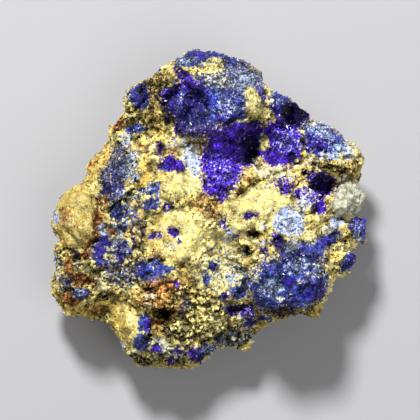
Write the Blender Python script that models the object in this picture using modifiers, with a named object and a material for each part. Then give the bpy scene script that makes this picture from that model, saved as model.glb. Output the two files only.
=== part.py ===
"""A linarite specimen: an ochre host rock with crusts of small blue crystals, lying on its broken back.

Lengths in this file are millimetres, and each mesh is scaled to metres when it is made.
X runs to the right across the display face, Y up across it, and Z out of it.
"""

import math
import random

import bmesh
import bpy
import numpy as np
from mathutils import Vector, noise

METRES_PER_MM = 0.001

# Driving dimensions, in millimetres.
FRONT_HEIGHT = 9.5  # the display face's swell above the rim
BACK_DEPTH = 9.4  # the back's swell below the rim, before it is trimmed flat
RIM_HEIGHT = 9.0  # the rim's mean height above the rest face
RIM_WAVER = 1.6  # how far the rim wanders up and down
RIM_WAVE_RADIUS = 1.3  # sets how many times it does so round the form
RIM_WAVE_LEVEL = 4.0  # a place in the noise, which sets the rim's pattern
SWELL_TOP, SWELL_EDGE = 2.6, 0.55  # the powers that flatten the swells' tops and steepen their edges
RIM_RELIEF = 0.35  # the share of the display face's relief that is left at the rim
RIM_BAND = 0.16  # the share of the radius over which the rest of it comes in
BALL_LEVELS = 7  # how finely the ball that becomes the rock is divided
CRUST_GAP = 0.32  # the space between a crust and the rock under it
CRUST_THICKNESS = 1.0
LUMP_SIZE = 2.8  # the spacing of the lumps on a crust
CRUST_PROUD = 0.25  # how far a crust stands above the bare rock beside it
SEAT_BLEND = 0.9  # the width over which the rock dips to a crust's seat
SEAT_CALM = 0.6  # how much of the rock's crumble is lost under a crust
SEAT_REACH = 0.5  # the share of that width that lies outside the crust's edge
SEAT_STEEPEST = -0.5  # rock that faces down more than this is no seat
GRAIN = 0.55  # the size of the even mesh that the rock is carved in
ROCK_TRIANGLES = 4200
DISPLAY_LOSS = 0.7  # how readily the display face gives up faces, beside the back's 1
CREASE_PASSES = 12  # how many times sharp creases are eased

# The specimen's outline seen from +Z, as (x, y) corners round the form, anticlockwise from the right.
OUTLINE = [
    (24.2, -1.1), (23.6, 0.2), (23.6, 2.8), (23.8, 4.4), (24.2, 5.5), (24.8, 7.2), (24.5, 8.5),
    (23.7, 9.7), (21.9, 10.3), (19.8, 12.1), (17.3, 13.3), (16.1, 13.9), (15.8, 15.2), (15.1, 16.3),
    (14.0, 16.8), (12.6, 16.9), (10.7, 18.3), (9.0, 20.2), (7.1, 22.4), (5.9, 22.7), (3.4, 23.7),
    (0.9, 24.5), (-2.0, 24.8), (-4.5, 23.8), (-7.0, 22.9), (-9.0, 20.8), (-11.1, 19.6), (-12.6, 17.6),
    (-13.6, 15.0), (-14.2, 14.1), (-15.9, 12.9), (-16.1, 10.2), (-18.4, 8.0), (-19.2, 6.1),
    (-20.3, 4.2), (-23.3, 2.5), (-24.4, 0.2), (-24.7, -2.4), (-23.7, -4.7), (-24.1, -6.1),
    (-23.7, -7.4), (-24.8, -10.5), (-25.0, -12.1), (-24.7, -13.3), (-23.3, -15.8), (-22.5, -16.9),
    (-18.3, -17.1), (-15.3, -17.6), (-14.3, -20.1), (-12.9, -22.6), (-11.1, -24.5), (-8.2, -24.8),
    (-4.3, -24.8), (-1.8, -24.5), (0.5, -22.9), (1.6, -22.3), (5.1, -22.0), (6.8, -20.5), (7.3, -18.8),
    (9.8, -17.1), (12.5, -17.2), (14.5, -16.1), (16.8, -16.8), (18.1, -16.3), (18.9, -13.6),
    (19.8, -11.4), (21.9, -9.7), (23.1, -7.5), (24.5, -5.0), (25.0, -2.5),
]
OUTLINE_CENTRE = (-0.5, -1.1)

# Swells and hollows of the display face: centre x, y, radii x, y, turn in degrees, height, and the
# share of the radius over which it rises (1 is a soft mound, 0.3 a steep-sided plateau or pit).
RELIEF = {
    "crown": (0.4, 18.4, 11.6, 7.8, -8, 5.0, 0.5),
    "crown_brow": (-1.0, 13.0, 8.0, 2.4, -4, 1.2, 0.8),
    "crown_face_hollow": (-1.4, 16.0, 4.2, 2.6, 10, -1.8, 0.8),
    "crown_left_cheek": (-8.0, 16.6, 4.0, 4.6, -30, 1.1, 0.8),
    "main_vug": (9.4, 8.9, 7.8, 4.8, 10, -4.4, 0.6),
    "main_vug_tail": (2.0, 7.0, 4.8, 5.4, 8, -2.4, 0.8),
    "vug_throat": (6.7, 9.2, 1.7, 2.3, 0, -3.2, 0.7),
    "vug_side_pit": (13.0, 8.0, 1.2, 1.0, 0, -1.6, 0.7),
    "vug_island": (8.6, 10.8, 1.2, 0.9, 20, 1.6, 0.8),
    "cave_lump": (11.2, 16.6, 2.3, 2.0, -30, 2.6, 0.7),
    "crown_cave": (13.4, 14.6, 2.6, 2.1, 15, -6.4, 0.5),
    "shelf": (19.4, 10.2, 7.6, 4.4, -30, 3.8, 0.6),
    "shelf_lip": (20.8, 7.9, 5.4, 2.6, -8, 0.9, 0.9),
    "side_vug": (17.1, 3.5, 3.5, 2.6, -12, -4.8, 0.6),
    "quartz_seat": (21.4, 1.6, 3.0, 2.8, 0, 1.6, 0.7),
    "right_lobe": (23.4, -3.6, 2.6, 3.4, 0, 2.4, 0.7),
    "lower_edge_lobe": (21.4, -8.4, 2.8, 2.6, 0, 2.0, 0.7),
    "lower_right_mass": (12.9, -10.0, 8.8, 7.2, 12, 4.4, 0.5),
    "lower_right_lobe": (17.2, -11.6, 3.8, 3.2, 0, 1.6, 0.8),
    "lower_middle_lobe": (9.2, -13.6, 3.4, 3.0, 0, 1.5, 0.8),
    "mass_groove": (13.6, -11.6, 1.2, 4.6, 24, -1.2, 0.8),
    "central_swell": (-4.5, -3.2, 12.0, 9.0, 0, 2.0, 1.0),
    "right_field_bench": (6.6, 0.6, 5.4, 2.6, 4, 1.0, 0.7),
    "left_lobe": (-20.9, -0.6, 4.4, 6.2, 0, 3.2, 0.45),
    "left_groove": (-16.2, -1.9, 1.6, 6.6, 6, -2.2, 0.8),
    "upper_left_rim": (-17.4, 6.6, 2.4, 3.2, -30, 2.0, 0.6),
    "left_ridge": (-13.4, 6.4, 3.2, 6.6, -16, 1.6, 0.8),
    "left_shelf_notch": (-10.6, 9.8, 2.2, 1.4, 30, -1.6, 0.7),
    "lower_left_lobe": (-20.9, -12.6, 4.6, 4.6, 0, 2.4, 0.6),
    "lower_left_crease": (-20.6, -7.4, 4.2, 1.1, 12, -1.6, 0.8),
    "foot_lobe": (-12.4, -19.8, 2.8, 5.0, 24, 2.2, 0.6),
    "foot_groove": (-9.6, -19.4, 1.1, 3.6, 14, -1.6, 0.8),
    "brown_mound": (-6.0, -12.0, 4.4, 3.2, 0, 1.6, 0.8),
    "brown_hollow": (-6.6, -16.8, 3.6, 2.1, 8, -3.6, 0.55),
    "foot_lip": (-5.0, -22.2, 6.5, 1.8, 0, 1.8, 0.7),
    "lower_bench": (0.4, -19.0, 4.4, 2.6, 0, 1.2, 0.7),
    "lower_pit": (5.2, -18.4, 2.4, 1.8, 10, -2.6, 0.6),
    "oval_pit": (-5.4, -3.6, 1.3, 0.9, -15, -1.5, 0.7),
    "small_oval_pit": (-8.4, -4.4, 1.0, 0.7, 30, -1.2, 0.7),
    "dimple": (5.1, 2.2, 1.0, 1.4, 0, -1.4, 0.8),
    "left_hole": (-7.4, 9.2, 1.0, 1.2, 20, -1.8, 0.7),
    "upper_hole": (7.0, -3.6, 1.3, 0.9, -20, -2.2, 0.7),
    "violet_hole": (10.7, -5.2, 1.2, 1.5, 15, -2.6, 0.7),
    "lower_hole": (5.9, -6.4, 0.9, 1.0, 0, -1.9, 0.7),
    "violet_dimple": (6.2, -0.6, 1.2, 0.9, 5, -1.2, 0.7),
    "shoulder_cleft": (-6.4, 11.3, 3.6, 1.0, -25, -1.6, 0.8),
}

# Brows that lean out over the hollows below them: centre x, y, radii x, y, lean x, y, and the
# heights between which the lean grows from nothing to its whole.
LEAN_BLEND = 0.7  # the share of the radius over which the lean grows
OVERHANGS = {
    "crown": (1.0, 13.6, 12.0, 5.6, 0.0, -1.3, 14.5, 21.0),
    "shelf": (20.0, 7.8, 6.5, 3.4, 0.1, -0.9, 11.5, 17.0),
    "lower_right_mass": (13.5, -14.0, 8.0, 4.0, 0.3, -0.8, 12.0, 17.0),
}

# The rock's broken surface: the height of its low waves, then for each size of block its size, how far
# the blocks step, how far each swells, and a shift that sets its pattern.
WAVES = 0.8
WAVE_SCALE = 0.16  # waves to the millimetre
WAVE_SHIFT = (3, 8, 1)
STEP_SCALE = 3.7  # spreads neighbouring blocks over the noise that sets their steps
LUMP_MIDDLE, LUMP_FALL = 0.84, 2.0  # a block's swell at its middle, and how fast it falls away
SIDE_CRUMBLE = 0.5  # how much of it there is on the upright sides
CRUMB_SIZES = [(6.0, 1.6, 0.7, 0), (3.0, 1.0, 0.6, 31), (1.5, 0.45, 0.3, 57)]

# Broken faces round the sides and under them: the way each faces in degrees round Z, its tilt
# below the horizon in degrees, and its distance from the outline's centre.
FRACTURES = [
    (12, 38, 22.0), (48, 22, 21.8), (74, 46, 22.4), (108, 26, 23.2), (138, 44, 18.6), (172, 28, 21.6),
    (204, 46, 22.6), (222, 20, 26.0), (246, 40, 23.4), (274, 24, 22.0), (301, 48, 19.4), (334, 30, 21.2),
]

# Where the back touches what it lies on: x, y and radius of each low place.
REST_PADS = [(-9.5, -9.0, 6.0), (9.5, -6.5, 6.0), (1.0, 10.5, 5.5), (-10.0, 4.5, 4.0)]
PAD_DEPTH = 1.6
PAD_BLEND = 0.5

# Where each crust grows, as overlapping ovals seen from +Z: centre x, y, radii x, y, turn in degrees.
CRUSTS = {
    "crown_crust": [(2.6, 18.8, 6.6, 5.8, 0), (-1.4, 15.4, 5.8, 4.2, -8), (1.0, 22.4, 6.6, 2.8, -6)],
    "shoulder_crust": [(-10.8, 17.6, 2.5, 3.0, -25)],
    "cave_druse": [(11.4, 16.4, 2.6, 2.2, -30), (13.4, 14.6, 3.3, 2.8, 15)],
    "main_vug_druse": [(2.3, 7.4, 4.3, 5.1, 8), (9.8, 9.0, 6.2, 4.3, 8), (6.4, 6.8, 4.0, 3.6, 0)],
    "shelf_crust": [(19.6, 10.8, 6.8, 3.5, -32)],
    "side_vug_druse": [(17.2, 3.6, 3.8, 3.1, -12), (15.5, 1.6, 2.7, 2.5, 0)],
    "right_edge_crust": [(23.6, -3.6, 2.4, 3.1, 0)],
    "lower_edge_crust": [(21.4, -8.4, 3.1, 2.9, 20)],
    "lower_right_crust": [(12.8, -10.8, 6.9, 5.6, 8), (14.2, -6.0, 5.0, 3.0, 6)],
    "lower_middle_crust": [(5.2, -17.2, 3.0, 2.9, 0)],
    "left_crust": [(-14.0, 5.4, 3.6, 5.4, -14)],
    "lower_left_crust": [(-15.0, -6.8, 4.7, 3.5, 0)],
    "centre_left_crust": [(-8.6, -9.6, 4.9, 3.3, 4)],
    "foot_crust": [(-10.2, -19.4, 2.5, 3.8, 12)],
    "quartz_knob": [(21.4, 1.4, 3.5, 3.4, 0)],
}
THICKER = {"quartz_knob": 1.5}  # the crusts that are more than CRUST_THICKNESS
CRYSTAL_POINT = 0.55  # the height of a crystal's point on a crust
SLENDEREST_POINT = 0.42  # and the most that it may be, beside its face's width
LOWEST_POINT = 0.45  # the share of its height that the lowest point keeps
LOWEST_CRUST = 8.6  # no crust reaches below this height
STEEPEST_CRUST = -0.35  # nor onto rock that faces down more than this
SHARPEST = 0.6  # rock vertices whose faces stand squarer than this are left as they are
LEAST_FACING = 0.4  # how far a crease may stretch the lift over it
WAY_PASSES, WAY_STEP = 24, 0.15  # the search for the way that clears the faces round a vertex
EDGE_WAVER = 0.8  # how far a crust's edge wanders from its ovals
EDGE_WAVES = [(0.3, 7.0), (0.8, 2.0)]  # its waves to the millimetre, and the noise's level for each
EDGE_RISE = 0.35  # the share of its thickness that a crust has at its edge
EDGE_TAPER = 1.2  # the width over which it gains the rest
THINNEST = 0.4  # the share that the thinnest places keep
LUMP_TOP, LUMP_SLOPE, LUMP_FOOT = 1.25, 1.1, 0.25  # the profile of the lumps on a crust
EDGE_SETBACK = 0.4  # how far a crust's edge draws back, as a share of its border faces
SMALLEST_WINDOW = 60  # a bare window in a crust with fewer faces than this is grown over

# Colour, roughness and metallic value of each mineral.
MINERALS = {
    "ochre_rock": ((0.62, 0.47, 0.17), 0.9, 0.0),
    "linarite": ((0.03, 0.04, 0.36), 0.25, 0.0),
    "quartz": ((0.62, 0.60, 0.47), 0.3, 0.0),
}


def oval_distance(x, y, centre_x, centre_y, radius_x, radius_y, turn=0.0):
    """0 at an oval's centre and 1 on its edge."""
    c, s = math.cos(math.radians(turn)), math.sin(math.radians(turn))
    dx, dy = x - centre_x, y - centre_y
    return math.hypot((dx * c + dy * s) / radius_x, (dy * c - dx * s) / radius_y)


def ease(t):
    t = min(1.0, max(0.0, t))
    return t * t * (3 - 2 * t)


def outline_radius_table(steps=720):
    """The outline's distance from its centre at evenly spaced angles, smoothed between its corners."""
    offsets = np.array(OUTLINE) - np.array(OUTLINE_CENTRE)
    angles = np.unwrap(np.arctan2(offsets[:, 1], offsets[:, 0]))
    radii = np.hypot(offsets[:, 0], offsets[:, 1])
    turns = 2 * math.pi
    angles = np.concatenate([angles - turns, angles, angles + turns])
    even = np.linspace(0, turns, steps, endpoint=False)
    table = np.interp(even, angles, np.tile(radii, 3))
    return (np.roll(table, 1) + 2 * table + np.roll(table, -1)) / 4


def display_relief(x, y):
    height = 0.0
    for cx, cy, rx, ry, turn, rise, blend in RELIEF.values():
        height += rise * ease((1 - oval_distance(x, y, cx, cy, rx, ry, turn)) / blend)
    return height


def shape_of_direction(direction, radii):
    """Where a point of the unit sphere goes: its longitude picks the outline's radius, and its
    latitude the share of that radius."""
    angle = math.atan2(direction.y, direction.x) % (2 * math.pi)
    place = angle / (2 * math.pi) * len(radii)
    low = int(place) % len(radii)
    radius = radii[low] + (radii[(low + 1) % len(radii)] - radii[low]) * (place - int(place))
    share = math.acos(min(1.0, abs(direction.z))) / (math.pi / 2)
    x = OUTLINE_CENTRE[0] + radius * share * math.cos(angle)
    y = OUTLINE_CENTRE[1] + radius * share * math.sin(angle)
    rim_point = Vector((math.cos(angle) * RIM_WAVE_RADIUS, math.sin(angle) * RIM_WAVE_RADIUS, RIM_WAVE_LEVEL))
    z = RIM_HEIGHT + RIM_WAVER * noise.noise(rim_point)
    swell = max(0.0, 1 - share**SWELL_TOP) ** SWELL_EDGE
    if direction.z >= 0:
        inside = ease((1 - share) / RIM_BAND)
        z += FRONT_HEIGHT * swell + display_relief(x, y) * (RIM_RELIEF + (1 - RIM_RELIEF) * inside)
        return Vector((x, y, z))
    z -= BACK_DEPTH * swell
    for pad_x, pad_y, radius in REST_PADS:
        z -= PAD_DEPTH * ease((1 - oval_distance(x, y, pad_x, pad_y, radius, radius)) / PAD_BLEND)
    return break_off(Vector((x, y, z)))


def break_off(point):
    """Brings a point of the back in to the broken faces."""
    middle = Vector((*OUTLINE_CENTRE, RIM_HEIGHT))
    for heading, tilt, distance in FRACTURES:
        angle, down = math.radians(heading), math.radians(tilt)
        facing = Vector((math.cos(angle) * math.cos(down), math.sin(angle) * math.cos(down), -math.sin(down)))
        point -= facing * max(0.0, facing.dot(point - middle) - distance)
    return point


def lean_overhangs(point):
    moved = point.copy()
    for cx, cy, rx, ry, lean_x, lean_y, low, high in OVERHANGS.values():
        weight = ease((1 - oval_distance(point.x, point.y, cx, cy, rx, ry)) / LEAN_BLEND)
        weight *= ease((point.z - low) / (high - low))
        moved.x += lean_x * weight
        moved.y += lean_y * weight
    return moved


def crust_cover(name, x, y):
    """How far inside the edge of a crust's ovals a point is, in millimetres, or below 0 outside."""
    depths = []
    for cx, cy, rx, ry, turn in CRUSTS[name]:
        depths.append((1 - oval_distance(x, y, cx, cy, rx, ry, turn)) * min(rx, ry))
    waver = sum(noise.noise(Vector((x * scale, y * scale, level))) for scale, level in EDGE_WAVES)
    return max(depths) + EDGE_WAVER * waver


def object_from(bm, name, collection):
    mesh = bpy.data.meshes.new(name)
    bm.to_mesh(mesh)
    bm.free()
    made = bpy.data.objects.new(name, mesh)
    collection.objects.link(made)
    return made


def applied(made):
    """The object's mesh with its modifiers applied, in their place."""
    graph = bpy.context.evaluated_depsgraph_get()
    mesh = bpy.data.meshes.new_from_object(made.evaluated_get(graph))
    made.modifiers.clear()
    made.data = mesh
    return made


def remeshed(made):
    remesh = made.modifiers.new("even_grain", "REMESH")
    remesh.mode = "VOXEL"
    remesh.voxel_size = GRAIN * METRES_PER_MM
    return applied(made)


def crumble(place):
    """Broken blocks at different heights, lumps with creases between them, and low waves under them."""
    height = WAVES * noise.noise(place * WAVE_SCALE + Vector(WAVE_SHIFT))
    for size, step, lump, shift in CRUMB_SIZES:
        distances, centres = noise.voronoi(place / size + Vector((shift, 2 * shift, -shift)))
        height += step * noise.noise(centres[0] * STEP_SCALE)
        height += lump * (LUMP_MIDDLE - LUMP_FALL * distances[0])
    return height


def carve_rock(collection):
    """The host rock: a sphere drawn out to the outline, leaned, made even, crumbled and cut flat."""
    radii = outline_radius_table()
    bm = bmesh.new()
    bmesh.ops.create_icosphere(bm, subdivisions=BALL_LEVELS, radius=1)
    for vertex in bm.verts:
        vertex.co = lean_overhangs(shape_of_direction(vertex.co, radii)) * METRES_PER_MM
    rock = remeshed(object_from(bm, "matrix", collection))

    bm = bmesh.new()
    bm.from_mesh(rock.data)
    bm.normal_update()
    seat = CRUST_GAP + CRUST_THICKNESS / 2 - CRUST_PROUD
    moves = []
    for vertex in bm.verts:
        x, y, z = vertex.co / METRES_PER_MM
        normal = vertex.normal
        move = crumble(Vector((x, y, z))) * (SIDE_CRUMBLE + (1 - SIDE_CRUMBLE) * abs(normal.z))
        if z > LOWEST_CRUST and normal.z > SEAT_STEEPEST:
            seated = ease(max(crust_cover(name, x, y) for name in CRUSTS) / SEAT_BLEND + SEAT_REACH)
            move = move * (1 - SEAT_CALM * seated) - seat * seated
        moves.append(normal * move * METRES_PER_MM)
    for vertex, move in zip(bm.verts, moves):
        vertex.co += move
    bm.to_mesh(rock.data)
    bm.free()

    back = rock.vertex_groups.new(name="back")
    for vertex in rock.data.vertices:
        height = vertex.co.z / METRES_PER_MM
        back.add([vertex.index], 1.0 if height < LOWEST_CRUST - 1 else DISPLAY_LOSS, "REPLACE")
    thin = rock.modifiers.new("fewer_faces", "DECIMATE")
    thin.ratio = ROCK_TRIANGLES / (2 * len(rock.data.polygons))
    thin.vertex_group = back.name
    applied(rock)
    rock.vertex_groups.clear()

    bm = bmesh.new()
    bm.from_mesh(rock.data)
    whole = bm.verts[:] + bm.edges[:] + bm.faces[:]
    cut = bmesh.ops.bisect_plane(bm, geom=whole, plane_co=(0, 0, 0), plane_no=(0, 0, -1), clear_outer=True)
    rim = [item for item in cut["geom_cut"] if isinstance(item, bmesh.types.BMEdge)]
    bmesh.ops.holes_fill(bm, edges=rim, sides=0)
    bmesh.ops.triangulate(bm, faces=bm.faces)
    soften_creases(bm)
    bm.to_mesh(rock.data)
    bm.free()
    return rock


def soften_creases(bm):
    """Eases the vertices whose faces meet so sharply that a crust over them would fold."""
    for _ in range(CREASE_PASSES):
        bm.normal_update()
        moves = {}
        for vertex in bm.verts:
            if vertex.co.z > LOWEST_CRUST * METRES_PER_MM and facing(vertex, clear_way(vertex)) < SHARPEST:
                near = [edge.other_vert(vertex).co for edge in vertex.link_edges]
                moves[vertex] = (sum(near, Vector()) / len(near) - vertex.co) / 2
        for vertex, move in moves.items():
            vertex.co += move


def facing(vertex, way):
    """How squarely a direction leaves the faces round a vertex: 1 along all their normals."""
    return min(face.normal.dot(way) for face in vertex.link_faces)


def patch_of_rock(rock, name):
    """The rock's own faces under a crust, as one sheet without holes, moved out by the gap."""
    bm = bmesh.new()
    bm.from_mesh(rock.data)
    bm.normal_update()

    def covered(vertex):
        x, y, z = vertex.co / METRES_PER_MM
        nearest = max(CRUSTS, key=lambda other: crust_cover(other, x, y))
        bears = z > LOWEST_CRUST and vertex.normal.z > STEEPEST_CRUST
        return bears and nearest == name and crust_cover(name, x, y) > 0

    inside = {vertex for vertex in bm.verts if covered(vertex)}
    patch = max(islands({f for f in bm.faces if all(v in inside for v in f.verts)}), key=len)
    for island in islands(set(bm.faces) - patch):
        if len(island) < SMALLEST_WINDOW:
            patch |= island
    lifts = [clear_lift(vertex) * CRUST_GAP * METRES_PER_MM for vertex in bm.verts]
    for vertex, lift in zip(bm.verts, lifts):
        vertex.co += lift
    bmesh.ops.delete(bm, geom=[f for f in bm.faces if f not in patch], context="FACES")
    trim_corners(bm)
    edge_places = {}
    for vertex in bm.verts:
        if any(edge.is_boundary for edge in vertex.link_edges):
            middles = [face.calc_center_median() for face in vertex.link_faces]
            edge_places[vertex] = vertex.co.lerp(sum(middles, Vector()) / len(middles), EDGE_SETBACK)
    for vertex, place in edge_places.items():
        vertex.co = place
    return bm


def clear_way(vertex):
    """The direction that leaves all the faces round a vertex as squarely as it can."""
    way = vertex.normal.copy()
    for _ in range(WAY_PASSES):
        worst = min(vertex.link_faces, key=lambda face: face.normal.dot(way))
        way = (way + worst.normal * WAY_STEP).normalized()
    return way


def clear_lift(vertex):
    """The way out from the rock that moves every face round a vertex by at least one unit."""
    way = clear_way(vertex)
    return way / max(LEAST_FACING, facing(vertex, way))


def islands(faces):
    """The connected groups of a set of faces."""
    left, groups = set(faces), []
    while left:
        stack, group = [left.pop()], set()
        while stack:
            face = stack.pop()
            group.add(face)
            near = {other for edge in face.edges for other in edge.link_faces} & left
            left -= near
            stack.extend(near)
        groups.append(group)
    return groups


def trim_corners(bm):
    """Drops faces that hang on by one edge or one corner, until the sheet is all of a piece."""
    while True:
        loose = {f for f in bm.faces if sum(edge.is_boundary for edge in f.edges) > 1}
        pinched = [v for v in bm.verts if sum(edge.is_boundary for edge in v.link_edges) > 2]
        loose.update(face for vertex in pinched for face in vertex.link_faces)
        main_sheet = max(islands(set(bm.faces) - loose), key=len)
        if len(main_sheet) == len(bm.faces):
            return
        bmesh.ops.delete(bm, geom=[f for f in bm.faces if f not in main_sheet], context="FACES")


def crust_lumps(place):
    """The share of its thickness that a crust keeps: whole on its lumps, less between them."""
    distances, _ = noise.voronoi(place / LUMP_SIZE)
    return min(1.0, max(LUMP_FOOT, LUMP_TOP - distances[0] * LUMP_SLOPE))


def grow_crust(rock, name, collection):
    """A crust: the rock's surface solidified outwards, thin at its edge, with a point on each face."""
    bm = patch_of_rock(rock, name)
    bm.verts.index_update()
    thickness_shares = [0.0] * len(bm.verts)
    for vertex in bm.verts:
        x, y, _ = vertex.co / METRES_PER_MM
        on_edge = any(edge.is_boundary for edge in vertex.link_edges)
        rise = EDGE_RISE + (1 - EDGE_RISE) * ease(crust_cover(name, x, y) / EDGE_TAPER)
        thickness_shares[vertex.index] = 0.0 if on_edge else rise * crust_lumps(vertex.co / METRES_PER_MM)
    crust = object_from(bm, name, collection)
    shares = crust.vertex_groups.new(name="thickness_share")
    for index, share in enumerate(thickness_shares):
        shares.add([index], share, "REPLACE")
    shell = crust.modifiers.new("shell", "SOLIDIFY")
    shell.thickness = THICKER.get(name, CRUST_THICKNESS) * METRES_PER_MM
    shell.offset = 1
    shell.vertex_group = shares.name
    shell.thickness_vertex_group = THINNEST
    outer_count = len(crust.data.vertices)
    applied(crust)
    raise_points(crust, name, outer_count)
    return crust


def raise_points(crust, name, outer_count):
    chance = random.Random(name)
    bm = bmesh.new()
    bm.from_mesh(crust.data)
    bmesh.ops.recalc_face_normals(bm, faces=bm.faces)
    outer = [f for f in bm.faces if all(v.index < outer_count for v in f.verts)]
    normals = [face.normal.copy() for face in outer]
    areas = [face.calc_area() for face in outer]
    points = bmesh.ops.poke(bm, faces=outer, center_mode="MEAN")["verts"]
    for point, normal, area in zip(points, normals, areas):
        height = min(CRYSTAL_POINT * METRES_PER_MM, SLENDEREST_POINT * math.sqrt(area))
        point.co += normal * height * chance.uniform(LOWEST_POINT, 1.0)
    bmesh.ops.triangulate(bm, faces=bm.faces)
    bm.to_mesh(crust.data)
    bm.free()


def centre_on_origin(objects):
    """Puts the middle of the whole specimen's box over the origin."""
    corners = np.array([v.co for made in objects for v in made.data.vertices])
    middle = (corners.min(0) + corners.max(0)) / 2
    for made in objects:
        for vertex in made.data.vertices:
            vertex.co -= Vector((middle[0], middle[1], 0))


def mineral_material(name):
    colour, roughness, metallic = MINERALS[name]
    material = bpy.data.materials.new(name)
    material.use_nodes = True
    shader = material.node_tree.nodes["Principled BSDF"]
    shader.inputs["Base Color"].default_value = (*colour, 1)
    shader.inputs["Roughness"].default_value = roughness
    shader.inputs["Metallic"].default_value = metallic
    material.diffuse_color = (*colour, 1)
    return material


def main():
    for old in list(bpy.data.objects):
        bpy.data.objects.remove(old)
    collection = bpy.data.collections.new("linarite_specimen")
    bpy.context.scene.collection.children.link(collection)
    materials = {name: mineral_material(name) for name in MINERALS}

    rock = carve_rock(collection)
    rock.data.materials.clear()
    rock.data.materials.append(materials["ochre_rock"])
    made = [rock]
    for name in CRUSTS:
        crust = grow_crust(rock, name, collection)
        crust.data.materials.clear()
        crust.data.materials.append(materials["quartz" if name == "quartz_knob" else "linarite"])
        made.append(crust)
    centre_on_origin(made)
    for each in made:
        print(each.name, len(each.data.polygons), "triangles")


main()
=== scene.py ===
import math

import bmesh
import bpy
import numpy as np
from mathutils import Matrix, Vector
from mathutils.bvhtree import BVHTree


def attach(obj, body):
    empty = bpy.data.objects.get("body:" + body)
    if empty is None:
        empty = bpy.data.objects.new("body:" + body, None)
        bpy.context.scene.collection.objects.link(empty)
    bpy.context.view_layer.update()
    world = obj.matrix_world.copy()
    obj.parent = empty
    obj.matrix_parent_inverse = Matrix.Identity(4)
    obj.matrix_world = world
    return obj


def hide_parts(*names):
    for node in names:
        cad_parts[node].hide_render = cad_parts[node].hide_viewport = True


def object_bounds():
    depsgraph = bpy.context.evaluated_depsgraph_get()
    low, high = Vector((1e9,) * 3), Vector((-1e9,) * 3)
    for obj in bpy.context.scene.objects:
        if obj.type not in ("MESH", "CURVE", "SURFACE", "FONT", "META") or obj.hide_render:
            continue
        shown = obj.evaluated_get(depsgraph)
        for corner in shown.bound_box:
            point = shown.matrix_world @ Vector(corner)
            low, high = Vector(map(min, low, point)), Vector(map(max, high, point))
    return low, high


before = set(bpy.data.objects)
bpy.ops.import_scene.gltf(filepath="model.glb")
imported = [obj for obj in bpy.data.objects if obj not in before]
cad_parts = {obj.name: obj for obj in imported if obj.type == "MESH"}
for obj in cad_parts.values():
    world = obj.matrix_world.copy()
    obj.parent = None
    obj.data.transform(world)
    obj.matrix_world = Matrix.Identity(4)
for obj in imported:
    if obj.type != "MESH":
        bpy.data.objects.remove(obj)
cadLow, cadHigh = [np.array(corner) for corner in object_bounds()]
print("frame loaded:", len(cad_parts), "nodes")

mm = 0.001
crustNodes = [  # each takes the finish that its name ends with
    "crown_crust", "shoulder_crust", "cave_druse", "main_vug_druse", "shelf_crust",
    "side_vug_druse", "right_edge_crust", "lower_edge_crust", "lower_right_crust",
    "lower_middle_crust", "left_crust", "lower_left_crust", "centre_left_crust", "foot_crust",
]

# The tables below are laid out in mm on the display face. An oval is its centre x and y, its
# radii x and y, and its turn in degrees.

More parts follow.
